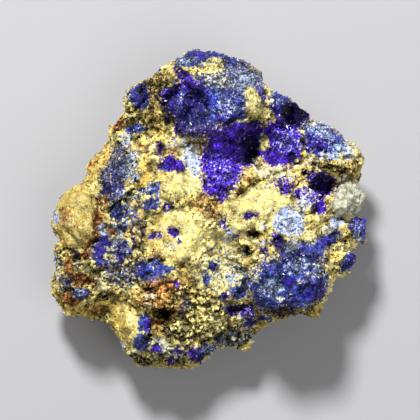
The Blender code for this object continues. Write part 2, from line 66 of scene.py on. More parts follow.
# Where the minerals show, place by place, painted one over another in this order:
# the mineral, the oval and the share of the surface it takes.
# The shade entries are no mineral but painted shade: in holes, cracks and hollows, under overhangs,
# rims and the shelf, and over faces turned from the key light.
patches = {
    # Most pale blue powder entries are a real powdery crust; a few are painted sheen and painted
    # highlights on lit ridges and edges, marked below.
    # the knob at the top and its shoulder
    "crest": [
        # The second oval on the next line, pale and bluish, is a painted sheen along the crest.
        ("linarite", -1, 23.5, 5.6, 1.6, 3, 1), ("powder", -3.4, 23.2, 1.7, 0.6, 8, 0.45),
        ("druse", -1.6, 24, 1.6, 0.5, 0, 0.5)],
    "crown": [
        ("linarite", 3.2, 19.2, 5.6, 5, -10, 0.9), ("powder", 3.8, 20, 4, 2.4, -8, 0.38),
        ("quartz", 1.6, 20.3, 1.9, 1.7, 0, 0.3), ("powder", 6.4, 19.6, 2, 2.2, 20, 0.45),
        ("shade", 4.2, 19.4, 4.4, 3.6, -10, 0.2), ("shade", 2.6, 22.9, 1.4, 0.8, -20, 0.5)],
    "crown low": [
        ("linarite", 2.6, 15.6, 3.6, 2.8, -20, 1), ("druse", 1.4, 15.2, 2.8, 1.8, -20, 0.42),
        # Both pale bluish ovals on the next line are painted sheen on the lit slope.
        ("powder", 2.2, 16.2, 2.6, 1.4, -35, 0.34), ("powder", 0.8, 16.6, 0.5, 3.4, 42, 0.35)],
    "crown streak": [
        ("lemon", -1.6, 21.6, 3.9, 0.8, 5, 1), ("lemon", 1, 22.7, 1.3, 0.8, 0, 0.8),
        ("ochre", -2.7, 21.4, 1, 0.5, -15, 0.9), ("rust", -2.6, 21.4, 0.5, 0.3, -15, 0.5)],
    "shoulder": [
        ("ochre", -7.6, 19.8, 3, 3.2, 20, 0.8), ("shade", -8.2, 19, 2.4, 2.2, 0, 0.38),
        ("lemon", -6.4, 22.7, 1.4, 1, 30, 0.7), ("druse", -7.7, 21.6, 0.5, 0.4, 0, 0.9)],
    "brow": [("druse", -3.8, 20.7, 1.9, 0.6, -32, 1), ("lemon", -5.5, 20.1, 1.5, 0.7, -25, 0.9)],
    "shoulder crust": [
        ("linarite", -10.9, 17.6, 1.9, 2.4, -12, 1), ("shade", -10.7, 17.8, 1.6, 2, 0, 0.35)],
    "cheek": [("ochre", -8, 16.9, 1.3, 1.8, 0, 0.7), ("shade", -7.4, 17.6, 0.9, 1.7, 0, 0.45)],
    "crown face": [
        ("druse", -3.3, 16.7, 3.7, 3.2, -12, 1), ("linarite", -0.2, 15.4, 2.1, 2.4, 25, 0.7),
        ("druse", -1.5, 15.8, 1.5, 1.3, 0, 0.7), ("shade", -2.9, 16.4, 3.4, 3, -12, 0.12),
        ("druse", -4.4, 16, 0.9, 2.4, -6, 1), ("druse", -3.9, 18.4, 1.1, 0.8, 10, 1),
        # The pale bluish oval that ends the next line and the first one on the line after are
        # painted highlights along the face's two ridges.
        ("linarite", -3, 15.8, 3.8, 3.4, -12, 0.4), ("powder", -4.3, 16.8, 0.4, 1.7, -6, 0.45),
        ("powder", -0.6, 16.4, 0.35, 1.5, 38, 0.4), ("powder", -2.2, 13.6, 1.3, 0.35, -10, 0.4)],
    "crown face hollows": [
        ("shade", -1.8, 17.5, 0.65, 1.6, 36, 0.9), ("shade", -6.3, 17.2, 0.6, 2.2, 0, 0.7),
        ("shade", -3.3, 14.6, 0.6, 1, 0, 0.95), ("shade", -6.6, 13.9, 0.6, 0.8, 0, 1),
        ("linarite", -2.2, 12.6, 3.2, 1.7, -8, 0.75), ("shade", -1.6, 12.4, 3.2, 1.1, -5, 0.4)],
    "crown foot": [
        ("druse", -4.9, 12.3, 0.9, 1, 30, 0.8), ("powder", -3.6, 10.2, 2.6, 0.9, -5, 0.45),
        ("quartz", -4.4, 9.2, 2.2, 0.8, 0, 0.5)],
    "crown right edge": [
        ("lemon", 6.9, 16.7, 1.2, 2.2, 15, 1), ("ochre", 6.2, 14.9, 0.8, 0.6, 0, 0.6),
        ("lemon", 9.3, 19, 0.8, 1.7, 15, 1), ("druse", 8.3, 17.8, 0.5, 1.2, 30, 0.9),
        ("quartz", 9.2, 17.2, 0.6, 0.9, 0, 0.7), ("lemon", 9.2, 14.6, 0.7, 1.3, 10, 0.9),
        ("lemon", 6, 13.8, 1.8, 0.5, 15, 0.6), ("shade", 6.6, 13.2, 2.4, 0.45, 12, 0.9)],
    # the left side below the knob
    "left brow": [
        ("lemon", -12.5, 15.4, 1.3, 1.4, 0, 0.6), ("ochre", -9.6, 13.9, 2.9, 1.4, -15, 0.85),
        ("shade", -10.4, 13.6, 2.6, 1, -15, 0.3), ("rust", -14.1, 13.4, 1.4, 1, 30, 0.95),
        ("shade", -14.2, 13.4, 0.9, 0.6, 30, 0.5), ("lemon", -14.6, 11, 1.1, 1.3, 0, 0.9),
        ("linarite", -11.4, 12.3, 1.3, 0.9, 0, 0.95), ("powder", -12.8, 10.9, 0.9, 1.2, 0, 0.6),
        ("ochre", -7.9, 11.4, 1.1, 1.3, 0, 0.9), ("lemon", -8.8, 10.8, 0.9, 0.8, 0, 1)],
    "left mottle": [
        ("rust", -9.2, 9.3, 2.4, 1.2, 0, 0.4), ("quartz", -8.8, 9.2, 1.4, 0.8, 0, 0.35)],
    "left hole": [
        ("druse", -7.3, 9.4, 0.55, 1.1, -5, 1), ("shade", -7.3, 9.6, 0.45, 0.9, -5, 0.8),
        ("rust", -5.6, 8.9, 1.2, 0.6, 0, 0.5)],
    "small druse": [
        ("druse", -5.4, 6.7, 2, 1.3, -10, 1), ("linarite", -7.4, 6.3, 0.9, 0.8, 0, 0.8)],
    "white vein": [
        ("quartz", -2.7, 6.8, 1.4, 2.5, 10, 1), ("powder", -2.4, 7.2, 1.2, 2.3, 10, 0.8)],
    "left bank": [
        ("lemon", -4, 3.9, 3.6, 1.8, -5, 0.9), ("ochre", -7, 5.3, 0.9, 0.5, 0, 0.8),
        ("ochre", -9.6, 6.4, 1.7, 1.8, 20, 0.8)],
    "left crust": [
        ("linarite", -14.8, 6.3, 2.3, 4.3, -15, 0.7), ("linarite", -12.2, 6.6, 1.6, 2.8, -15, 0.55),
        ("powder", -12.3, 6.9, 1.3, 2.2, -15, 0.4), ("powder", -11.3, 4.9, 0.7, 0.6, 0, 0.9),
        ("linarite", -15.4, 2.7, 1.9, 1.4, 0, 0.75), ("shade", -14.6, 5.4, 2.4, 3.9, -15, 0.28)],
    "left rim": [
        ("ochre", -17.8, 6.6, 1.5, 3.5, -38, 1), ("rust", -18.1, 7.4, 0.8, 0.4, 40, 0.8),
        ("rust", -18.6, 5.3, 0.4, 0.7, 0, 0.6), ("lemon", -17.5, 3.4, 1.1, 0.7, 0, 0.6)],
    "blue eye": [
        ("linarite", -8.7, 3.1, 1.5, 1, 0, 0.95), ("powder", -8.7, 3.3, 0.9, 0.5, 0, 0.45),
        ("linarite", -10.7, 2.8, 0.6, 0.5, 0, 0.8)],
    "left spots": [
        ("linarite", -13.7, 3.2, 0.8, 1, 0, 0.95), ("quartz", -12.4, 2.5, 2, 1, 0, 0.35),
        ("linarite", -14.4, -0.4, 1.2, 1.3, -20, 0.95), ("rust", -16.8, 1.3, 1.3, 0.6, 15, 0.85)],
    "middle left": [
        ("linarite", -8.8, 0.9, 1.6, 1, 0, 0.85), ("shade", -9.6, 0.9, 1, 0.8, 0, 0.25),
        ("druse", -6.1, 0.3, 0.7, 0.7, 0, 0.9), ("linarite", -12.8, 0.6, 2.4, 2.2, 0, 0.46)],
    # the middle
    "central vug": [
        ("druse", 2.2, 7.7, 3.3, 5, 3, 1), ("druse", 0.6, 3.6, 1.8, 1.8, 0, 0.85),
        ("powder", 1.6, 6.2, 2.6, 2.4, 0, 0.14), ("druse", 5.6, 12.1, 3.6, 1.4, 5, 1),
        ("shade", 4.8, 12.7, 3.2, 0.7, 5, 0.55)],
    "vug right": [
        ("druse", 10.9, 9.9, 3.5, 3.4, 0, 1), ("druse", 13.4, 10.2, 1.2, 2.4, 0, 1),
        ("druse", 12.4, 12.8, 2.4, 0.9, 0, 0.85), ("powder", 12.3, 10.6, 2.2, 1.8, 0, 0.3),
        ("druse", 12.2, 7.1, 1.7, 1.1, -20, 1)],
    "vug throat": [
        ("druse", 6.7, 9.6, 2, 2.8, 0, 1), ("shade", 6.7, 9.4, 1.3, 2.1, 0, 1),
        ("shade", 13.2, 8.1, 0.55, 0.7, 0, 0.95), ("lemon", 8.6, 10.3, 0.75, 1.3, 10, 1),
        ("lemon", 7.7, 7, 1.1, 0.7, 20, 0.85), ("rust", 8.4, 6.9, 0.6, 0.5, 0, 0.5)],
    "vug floor": [
        ("quartz", 10.6, 5.6, 3.6, 1.1, -8, 0.7), ("ochre", 13.2, 6.2, 1.6, 0.9, 20, 0.5),
        ("shade", 4, 5.1, 1.6, 0.6, -5, 0.4), ("rust", 6.6, 4.5, 1, 0.5, 0, 0.9)],
    "upper field": [
        ("druse", 9.6, 3.2, 1.8, 1, 10, 0.75), ("powder", 9.9, 3, 1.6, 0.8, 10, 0.35),
        ("druse", 11.9, 3.6, 1.3, 1.6, 0, 0.75), ("druse", 2, 2.4, 0.8, 1.3, 0, 0.7)],
    "field": [
        ("lemon", 8.2, 0.4, 4.8, 3.4, 5, 0.95), ("lemon", 4.2, -3, 4.4, 2.6, 0, 0.85),
        ("druse", 11.7, 2.9, 0.6, 1, 0, 0.7), ("rust", 4.8, 2.3, 0.5, 0.8, 0, 0.9),
        ("ochre", 5.8, 2.8, 0.8, 0.6, 0, 0.8)],
    "middle stain": [("rust", -0.2, 0.6, 2, 1.5, 0, 0.5), ("rust", 1, -0.9, 1.3, 1, 0, 0.5)],
    "middle field": [
        ("lemon", -4.4, -3.9, 5, 4, 0, 0.95), ("lemon", 0, -5.6, 4.4, 3.6, 0, 0.7),
        ("ochre", -5.2, -4.2, 4.2, 3.4, 0, 0.2), ("linarite", 1.4, -5.4, 3.2, 2.4, 0, 0.12),
        ("rust", -8.4, -6.7, 1.1, 0.8, 0, 0.4), ("ochre", -7.6, -3.8, 2.4, 2.8, 0, 0.5),
        ("quartz", -5.9, -5.8, 1.2, 0.9, 0, 0.7)],
    "lenses": [
        ("druse", -5.4, -3.5, 1.15, 0.7, -20, 1), ("druse", -8.4, -4.1, 0.9, 0.5, 30, 1),
        ("druse", -4.2, -4.8, 0.45, 0.3, -20, 0.8), ("druse", 2.2, -2.1, 0.8, 0.7, 40, 0.75),
        ("powder", 3.5, -3.4, 0.5, 0.8, 30, 0.9), ("rust", 3.7, -0.6, 0.4, 0.5, 0, 0.9),
        ("druse", 6.4, -0.9, 1, 0.6, 10, 1), ("powder", 8.6, -2.7, 0.6, 0.5, 0, 0.6)],
    "pits": [
        ("shade", 7.2, -4, 1.1, 0.5, -20, 1), ("shade", 6.1, -6.6, 0.6, 0.75, 0, 1),
        ("powder", 8.9, -5.3, 1.4, 0.7, 0, 0.7), ("powder", 2.9, -4.9, 0.45, 0.7, 20, 0.8),
        ("druse", 4, -4, 0.35, 0.6, 30, 0.8), ("druse", 11, -5.4, 0.9, 1.5, 22, 1),
        ("shade", 10.8, -5, 0.6, 0.9, 22, 0.8), ("druse", 8.3, -6.7, 0.5, 0.4, 0, 1)],
    "powder bank": [
        ("powder", 12.8, -2.1, 2.5, 2.2, 0, 1), ("linarite", 12.4, -3.2, 2.4, 1.6, 0, 0.13),
        ("lemon", 16.3, -1.6, 2, 1.6, 0, 0.5), ("lemon", 16.3, -4.2, 1.3, 1.1, 0, 0.95),
        ("powder", 20, -1.9, 1.5, 1, 0, 0.85), ("powder", 18.8, -3, 1.4, 0.6, 0, 0.6)],
    "left cracks": [
        ("linarite", -12.6, -3.4, 2.6, 3.6, 0, 0.45), ("shade", -11.6, -5, 0.35, 2.6, 0, 0.8),
        ("shade", -10.3, -4, 0.3, 2, 0, 0.8), ("lemon", -10.95, -4.6, 0.35, 1.8, 0, 0.9),
        ("ochre", -12.3, -4.6, 0.5, 1.8, 0, 0.7), ("linarite", -13, -2.7, 0.8, 0.6, 0, 0.9)],
    "left lobe": [
        ("ochre", -20.9, -1.2, 3.2, 5, 0, 1), ("lemon", -20.2, -2, 2.3, 4.2, 0, 0.4),
        ("rust", -22.2, -1, 1.2, 1.5, 0, 0.55), ("rust", -21.6, -3.2, 1.2, 0.6, 0, 0.4),
        ("powder", -24, -1.3, 0.5, 1.2, 0, 0.7), ("shade", -22, -6.3, 2, 0.4, -10, 0.7)],
    "rust strip": [
        ("rust", -17.4, -2.7, 0.7, 3, -5, 0.95), ("rust", -18.7, -5.4, 0.8, 0.9, 0, 0.8),
        ("linarite", -16.4, -3.2, 1, 1.3, 0, 0.8), ("powder", -16.5, -3.2, 0.8, 0.9, 0, 0.4),
        ("rust", -15, -3.3, 0.6, 0.5, 0, 0.8), ("powder", -14, -3.9, 0.8, 0.9, 0, 0.4)],
    "lower left crust": [
        ("linarite", -16.7, -6.6, 1.7, 2.5, -12, 1), ("linarite", -13.7, -6.6, 2, 1.8, 0, 0.7),
        ("druse", -16.6, -6, 1.4, 1.9, -12, 0.5), ("shade", -15.6, -6.4, 2.4, 2.2, 0, 0.2),
        ("quartz", -15.3, -6, 0.7, 0.4, 0, 0.9), ("lemon", -15.3, -7.5, 0.6, 0.6, 0, 0.8),
        ("druse", -13.4, -7.3, 0.6, 0.8, 0, 0.7)],
    # the lower left
    "notch": [("linarite", -20.6, -7, 0.9, 0.8, 0, 0.8), ("rust", -19.2, -7, 1, 0.8, 0, 0.9)],
    "lower lobe": [
        ("rust", -21.8, -9.2, 1, 1.5, 0, 0.85), ("lemon", -18.5, -9, 1.4, 1, -10, 0.8),
        ("powder", -20.4, -8.9, 0.7, 0.7, 0, 0.5), ("rust", -20.2, -11, 1.9, 1.1, 0, 0.9),
        ("rust", -17.6, -11.2, 0.6, 0.7, 0, 0.9), ("ochre", -24.2, -11, 0.9, 2, 0, 0.8),
        ("linarite", -23.9, -7.8, 0.9, 1.6, 0, 0.5), ("quartz", -23.8, -10.8, 0.8, 1.5, 0, 0.4),
        ("linarite", -22.3, -11.8, 1.1, 1.3, 0, 0.5), ("shade", -22.3, -11.8, 1.1, 1.3, 0, 0.35),
        ("linarite", -19.9, -13.2, 1.3, 0.9, 0, 0.95), ("powder", -19.9, -13.2, 0.9, 0.6, 0, 0.35),
        ("rust", -21.8, -14.3, 1.6, 0.9, -15, 0.95)],
    "lower lobe rim": [
        ("ochre", -19.8, -15.9, 3.6, 0.9, -3, 1), ("ochre", -16.6, -15.4, 2.2, 1.3, 20, 0.8),
        ("rust", -17, -15.6, 1.5, 0.8, 20, 0.5), ("shade", -16.3, -13.5, 1.5, 0.55, 5, 0.7),
        ("quartz", -16.3, -11.6, 1.2, 1.4, 0, 0.35)],
    "slate mottle": [
        ("linarite", -14, -10, 2.8, 2.1, -15, 0.65), ("shade", -13.6, -10.3, 2.4, 1.6, -15, 0.2),
        ("quartz", -14.2, -10.2, 2.2, 1.6, 0, 0.2)],
    "centre left crust": [
        ("linarite", -8.9, -9.6, 2.4, 1.9, -5, 1), ("linarite", -6.5, -9.4, 1.3, 0.7, 10, 0.95),
        ("shade", -10.6, -9.1, 1, 0.8, 0, 0.45), ("powder", -8.7, -8.8, 0.9, 0.5, -20, 0.35)],
    "mound": [
        ("rust", -6.6, -13.4, 3.6, 2.3, -8, 0.6), ("ochre", -5.8, -14.2, 2.6, 1.8, 0, 0.7),
        ("rust", -7.4, -13.6, 4.2, 3, -10, 0.52), ("lemon", -4.4, -13.6, 1.6, 1.8, 0, 0.42),
        ("shade", -5, -12.2, 3, 1.2, -20, 0.14), ("ochre", -10.8, -13.4, 0.8, 1.6, 0, 0.8),
        ("quartz", -9, -13.9, 0.9, 1.8, 0, 0.42), ("rust", -6, -11.8, 1.6, 0.8, -20, 0.8),
        ("druse", -5, -11.7, 0.6, 0.4, 0, 0.8), ("linarite", -3.3, -14.7, 0.6, 0.6, 0, 0.7),
        ("druse", -3.9, -16.1, 0.5, 0.5, 0, 0.8)],
    "hollow": [
        ("shade", -7.1, -16.5, 0.9, 0.8, 0, 1), ("shade", -5.9, -18.4, 2.6, 1.1, -5, 0.75),
        ("rust", -7.8, -17.6, 1, 1.2, 0, 0.6)],
    "foot face": [
        ("ochre", -13.8, -18, 1.3, 2.6, 12, 1), ("lemon", -11.6, -18.3, 0.8, 1.9, 8, 0.7),
        ("powder", -13.5, -21.2, 0.6, 0.9, 20, 0.6)],
    "foot crust": [
        ("linarite", -10, -17.8, 1.1, 1.3, 0, 1), ("druse", -9.4, -18.3, 0.7, 1.2, 0, 0.7),
        ("linarite", -10.6, -20.7, 1.1, 1.5, 0, 1), ("shade", -9.1, -19.7, 0.5, 0.9, 10, 0.9)],
    "foot": [
        ("quartz", -7.4, -20.9, 2, 0.9, -8, 0.95), ("quartz", -6.2, -22.3, 3, 1.2, -6, 0.75),
        ("druse", -8.3, -21.7, 1, 0.6, 10, 1), ("druse", -6.1, -23.5, 1, 0.6, 0, 0.95),
        ("druse", -4.7, -22, 1, 0.8, 0, 0.95), ("lemon", -4, -23.8, 1.6, 0.5, 0, 0.9),
        ("quartz", -10.7, -23.2, 2, 0.9, -15, 0.45), ("shade", -10.7, -23.6, 2.2, 0.9, -15, 0.6),
        ("shade", -5.6, -23.2, 3.6, 1.4, -3, 0.32)],
    "bench": [
        ("lemon", -2.2, -19, 3.8, 2.8, 5, 0.85), ("ochre", -2, -18.8, 3.8, 2.8, 5, 0.22),
        ("shade", -2, -18.6, 3.6, 2.6, 5, 0.12), ("shade", -4.6, -19.7, 1.6, 0.8, -5, 0.5),
        ("linarite", 3, -20, 1.6, 1.2, 10, 0.35)],
    "bench end": [
        ("druse", -1.8, -23, 1.5, 1.2, 30, 1), ("linarite", 0.2, -22.3, 1.9, 0.9, 25, 0.95),
        ("powder", 0.4, -22, 1.2, 0.5, 25, 0.55), ("shade", -0.8, -21, 0.5, 0.7, 0, 0.8)],
    # the lower right
    "lower grains": [
        ("linarite", 2, -9.6, 4.4, 3.4, 0, 0.3), ("lemon", 2.4, -10, 4.2, 3, 0, 0.75),
        ("quartz", 2.4, -10.6, 4, 2.4, 0, 0.25), ("linarite", 2.2, -9.4, 4.2, 3.4, 0, 0.2)],
    "lower spots": [
        ("linarite", 0.6, -8.8, 1, 0.6, 0, 0.95), ("linarite", -0.4, -10.8, 0.8, 0.9, 0, 0.8),
        ("powder", 3.4, -10.8, 0.8, 0.7, 0, 0.8), ("ochre", 6, -8.4, 1.4, 0.7, 0, 0.7),
        ("ochre", 0.8, -7, 0.7, 0.4, 0, 0.8), ("linarite", 4.6, -9.6, 0.8, 0.5, 0, 0.7),
        ("linarite", 4.6, -13, 1.3, 1, 0, 0.9), ("linarite", 6.1, -11.5, 1, 1.3, 0, 0.6),
        ("druse", 2.3, -14, 0.6, 1.2, -15, 1)],
    "lower yellow": [
        ("lemon", 1, -15.8, 4, 1.8, 0, 0.75), ("lemon", 1, -18.2, 2.2, 1.5, 0, 0.9),
        ("shade", 1.2, -15.8, 1.6, 0.35, 0, 0.7)],
    "lower blobs": [
        ("druse", 4.5, -15.9, 2.1, 1, 0, 1), ("druse", 6.4, -17.3, 1.1, 1.7, 0, 1),
        ("shade", 5.4, -15.8, 1.8, 0.9, 0, 0.5), ("lemon", 5, -16.6, 1.8, 1.2, 0, 0.2),
        ("quartz", 5, -17.4, 0.7, 0.7, 0, 0.6)],
    "lower right tip": [
        ("lemon", 7.2, -13.2, 0.5, 1.1, 0, 0.9), ("lemon", 8, -15.9, 0.8, 0.5, 0, 0.6),
        ("linarite", 8.8, -17, 1, 0.6, -15, 1), ("quartz", 9.7, -16.6, 0.35, 0.35, 0, 0.9)],
    "under the bench": [
        ("shade", 4, -20.4, 3.4, 1.3, 15, 0.45), ("linarite", 3.8, -20.2, 3, 1.2, 15, 0.35),
        ("quartz", 4.2, -20, 3, 1.2, 15, 0.3), ("powder", 6.6, -20.6, 0.6, 0.4, 0, 0.6)],
    "big crust": [
        ("linarite", 12.6, -11.4, 6.4, 4.4, 5, 1), ("linarite", 14.6, -7, 3.6, 2.2, 0, 0.9),
        ("linarite", 8.9, -13.2, 2, 2.6, -10, 1), ("powder", 13.6, -8.8, 2.3, 1, 12, 0.4),
        ("powder", 12.9, -5.6, 1.4, 1, 0, 0.4), ("druse", 14.8, -6.6, 0.8, 0.8, 0, 0.45),
        ("powder", 9.6, -12.4, 1.9, 1.6, 20, 0.42), ("quartz", 7.4, -10.5, 0.65, 0.35, 20, 0.9),
        ("quartz", 11.1, -14, 0.5, 0.35, 0, 0.9), ("quartz", 12.6, -13.7, 0.4, 0.35, 0, 0.9),
        ("quartz", 14.3, -11.2, 0.3, 0.5, -30, 0.8)],
    "big crust shade": [
        ("shade", 12.5, -11.2, 1, 0.8, 0, 0.75), ("druse", 13.1, -14.3, 0.8, 0.6, 0, 0.6),
        ("shade", 16.7, -13.3, 2.1, 1.5, -20, 0.5), ("druse", 15.8, -12.4, 2.4, 1.6, -20, 0.16),
        ("quartz", 16.9, -9.6, 1.6, 1.4, 0, 0.3), ("shade", 17.2, -9, 1.8, 1.8, 0, 0.3)],
    "ridge crust": [
        ("linarite", 18.5, -4.9, 2.3, 1, 35, 1), ("druse", 18, -5.2, 1.2, 0.6, 35, 0.6)],
    "right cream": [
        ("lemon", 21.3, -5.9, 2, 1.2, 8, 1), ("quartz", 21.3, -5.9, 1.6, 1, 0, 0.28),
        ("shade", 21.2, -4.8, 0.8, 0.4, 0, 0.6), ("lemon", 19.4, -8.9, 1.3, 1, 20, 1),
        ("lemon", 19.3, -11.6, 0.55, 1.9, -5, 1), ("lemon", 18.4, -15, 0.6, 1.3, 0, 0.9),
        ("ochre", 17.3, -15.9, 1.2, 0.8, 0, 0.8)],
    "right crust": [
        ("linarite", 23.6, -3, 1.5, 2.4, 8, 0.95), ("druse", 24, -2.4, 1, 1.8, 8, 0.5),
        # The small quartz oval that ends the next line is a painted glint.
        ("powder", 23.4, -3.2, 1, 1.8, 0, 0.3), ("quartz", 23.6, -5, 0.3, 0.6, -20, 0.8)],
    "edge crust": [
        ("linarite", 21.9, -8.4, 1.1, 2.3, -37, 1), ("shade", 21.9, -8.4, 1.1, 2.3, -37, 0.3)],
    "under the big crust": [
        ("rust", 12.8, -16.1, 3.4, 0.9, 0, 0.7), ("shade", 12.4, -15.9, 3.6, 0.9, 0, 0.7),
        ("lemon", 14.4, -15.9, 1.4, 0.6, 15, 0.4)],
    # the upper right
    "cave lump": [
        ("linarite", 11.2, 16.6, 1.5, 2.3, 0, 1), ("druse", 10.8, 15.8, 1.2, 1.8, 0, 0.6),
        ("powder", 11.1, 16.7, 0.6, 0.7, 0, 0.45)],
    "cave": [
        ("druse", 13.6, 14.9, 2.5, 2, 0, 1), ("shade", 13.7, 15, 2.5, 2, 0, 1),
        ("quartz", 15.2, 15.7, 0.3, 0.6, 20, 0.6), ("druse", 12.2, 13.1, 2, 0.7, 0, 0.9)],
    "shelf": [
        ("linarite", 18.2, 10.8, 3.9, 2.5, -30, 1), ("linarite", 16.3, 10.6, 1.3, 2.3, 12, 1),
        ("powder", 17.4, 12.4, 2.8, 0.9, -28, 0.42), ("powder", 18.4, 10.2, 3, 1.4, -28, 0.22),
        ("druse", 16.8, 10, 2.2, 1.7, -25, 0.6), ("powder", 21.8, 9.1, 2.2, 0.9, -10, 0.7),
        ("linarite", 21.8, 8.3, 1.3, 0.5, 10, 0.7), ("lemon", 23.3, 8.8, 0.8, 0.6, 0, 0.8),
        ("powder", 19.6, 8.2, 3.2, 0.5, -8, 0.6), ("quartz", 16, 7.2, 1.7, 0.6, -15, 0.9),
        ("lemon", 20.8, 7.6, 0.7, 0.8, 0, 0.95), ("lemon", 14.9, 9.8, 0.3, 2, 12, 0.8)],
    "under the shelf": [
        ("ochre", 20.6, 5.3, 2.6, 0.8, -6, 0.6), ("shade", 19.4, 6.5, 3.2, 0.3, -8, 0.9),
        ("quartz", 21.2, 4.7, 1.8, 0.7, -8, 0.7), ("lemon", 23.4, 6.4, 1.4, 1.6, 20, 0.9),
        ("ochre", 22.6, 6, 0.9, 0.9, 0, 0.7), ("shade", 23, 6.3, 1.1, 1.1, 0, 0.35),
        ("ochre", 14.7, 6.6, 1.2, 1.4, 0, 0.6), ("quartz", 14.7, 6.8, 1, 1.2, 0, 0.35)],
    "side vug": [
        ("druse", 16.6, 3, 1.9, 2.6, -10, 1), ("powder", 16.4, 2.4, 1.6, 2, -10, 0.2),
        ("druse", 17.1, 0.5, 1.1, 1.4, 0, 1), ("druse", 14.4, 2.4, 1.1, 0.9, 0, 0.8),
        ("druse", 17.8, 4, 2.1, 1.9, -25, 1), ("lemon", 14.7, 3.8, 1.3, 0.6, 5, 0.9),
        ("quartz", 15.9, 1.6, 1.6, 1.5, 0, 0.3), ("quartz", 15.3, 2.6, 0.8, 0.3, 10, 0.8),
        ("powder", 14.8, 0.8, 1.2, 1.2, 0, 0.6)],
    "side vug holes": [
        ("shade", 18.1, 4.2, 1.7, 1.3, -25, 1), ("shade", 15.2, 5.4, 0.55, 0.8, 20, 1),
        ("shade", 18.4, 2, 0.45, 1.1, 0, 0.6)],
    "quartz": [
        ("quartz", 22, 1.6, 2.1, 2.8, 0, 0.9), ("lemon", 19.7, 1.2, 0.9, 1.5, 0, 0.7),
        ("quartz", 21.2, -0.9, 1.6, 0.8, 0, 0.5)],
}
calmPatches = [  # where the rock is smooth rather than crumbly: the oval and the share
    (-21, -0.8, 3.6, 5.4, 0, 1), (-4.8, -4.3, 5.4, 3.8, 0, 0.85), (8.5, 0.6, 4.6, 3, 0, 0.75),
    (-13, -18.5, 2.2, 3.8, 15, 0.85), (-1.4, 15, 4.2, 3, 10, 0.5), (1.5, -6, 3.6, 2.4, 0, 0.55),
    (-4.4, 4, 3.6, 1.6, -5, 0.6), (4.4, -3, 3.6, 2.4, 0, 0.55), (7, 16.6, 1.3, 2.2, 15, 0.6),
    (10.6, 5.6, 3.6, 1.1, -8, 0.5), (-17.8, 6.6, 1.5, 3.6, -38, 0.5), (21.6, 7.7, 1.7, 1.4, 0, 0.8),
    (2, -10, 4, 3, 0, 0.45), (16.3, -2.4, 2.2, 2, 0, 0.5), (-2.6, 7, 1.5, 2.5, 10, 0.5),
]
toneAndLightPatches = [  # where the colours are painted lighter or darker, partly by the minerals' own colour and partly as painted light and shade (painted highlights on the knob's ridges, painted shade in the cave, lightened slopes that face away from the key): the oval and the gain
    (-20.6, -1.4, 3.6, 5.2, 0, 0.77), (5, 19.2, 4, 4, 0, 0.84), (2, 15.6, 3.4, 2.2, -20, 1.3),
    (17.6, 10.4, 4, 2.4, -30, 1.28), (-0.5, 23.6, 5.5, 1.4, 0, 0.8), (-3.2, 16, 3.4, 3.4, -12, 1.5),
    (13.7, 15, 2.5, 2.1, 0, 0.36), (-10.2, 13.6, 3.4, 2, -15, 0.72), (-2.6, 7, 1.6, 2.6, 10, 1.2),
    (-2, -18.8, 4.2, 2.6, 5, 1.15), (4.8, 12.4, 4.2, 1.1, 5, 0.8), (-14.3, 6, 2.6, 4.2, -15, 0.78),
    (-16, -6.6, 2.6, 2.6, 0, 0.88), (-21, -10.8, 3.6, 4.2, 0, 0.76), (-8.2, 19, 2.6, 3, 20, 0.72),
    (-10.9, 17.6, 1.9, 2.4, -12, 0.8), (16.6, 2, 2.6, 2.6, 0, 1.25), (21.2, -6, 2, 1.4, 0, 1.34),
    (19.3, -11.2, 1, 2.6, -5, 1.25), (-12.6, -2.6, 2.6, 3.2, 0, 1.3),
    (-1.6, -6.4, 2.4, 2.8, 20, 1.22), (2.4, 7, 3.4, 4.4, 0, 1.42), (11, 9.8, 3.4, 3.2, 0, 1.1),
    (12.6, -10.6, 6, 4.4, 0, 1.18), (-9, 9, 2.8, 2, 0, 1.34), (-1.5, -2.6, 3, 2.2, 0, 1.2),
    (20.6, -8.6, 2.4, 1.6, 0, 1.22), (-20.5, -7, 1.8, 1, 0, 1.4), (-4.5, 16.2, 0.9, 2.2, -6, 1.4),
    (-0.5, 16, 0.7, 2.6, 38, 1.45), (-3.9, 18.4, 1.1, 0.7, 10, 1.3), (1, -16.6, 4, 2.4, 0, 1.1),
    (5, -20.8, 4, 1.4, 12, 0.82), (13, -16.2, 3.8, 1.2, 0, 0.6), (-8, -13.4, 4, 2.6, 0, 1.32),
    (22, 1.6, 2.4, 3, 0, 1.08),
]
porousPatches = [  # where it is open between the crumbs, with deeper relief and painted shade in its openings: the oval and the share
    (-8.2, 18.6, 3.2, 3.4, 20, 1), (-10.5, 13.8, 4.2, 2.4, -15, 0.8),
    (-3.5, -15, 6.5, 3.4, -10, 0.7), (-1.5, -18.5, 5, 2.8, 0, 1), (-12.5, -8.5, 4.6, 3.6, 0, 0.6),
    (-11.5, -4, 2.2, 3.4, 0, 0.5), (-19.5, -10, 4, 4.5, 0, 0.6), (3.5, -19, 4, 2.5, 10, 0.8),
    (-9.5, 8.5, 3, 2, 0, 0.25), (4, 20, 5, 3.5, 0, 0.5), (19.4, 5.8, 4, 2, -10, 0.6),
]
hollows = [  # the larger dents and ridges of rock and crusts alike: the oval and the depth in mm
    (-3.4, 15.9, 3.4, 3.2, -12, 1.8), (-4.4, 15.8, 0.6, 2, -6, -1.3),
    (-3.9, 18.3, 1, 0.8, 10, -1.1), (-3.2, 14.6, 0.6, 1, 0, 0.9), (-1.8, 17.4, 0.7, 1.5, 36, 0.8),
    (13.5, 15, 1.8, 1.5, 0, 2.6), (6.6, 9.4, 1.2, 2, 0, 1.2), (17.9, 4, 1.7, 1.3, -25, 0.9),
    (-4, 21, 1.5, 0.5, -20, 0.7),
]
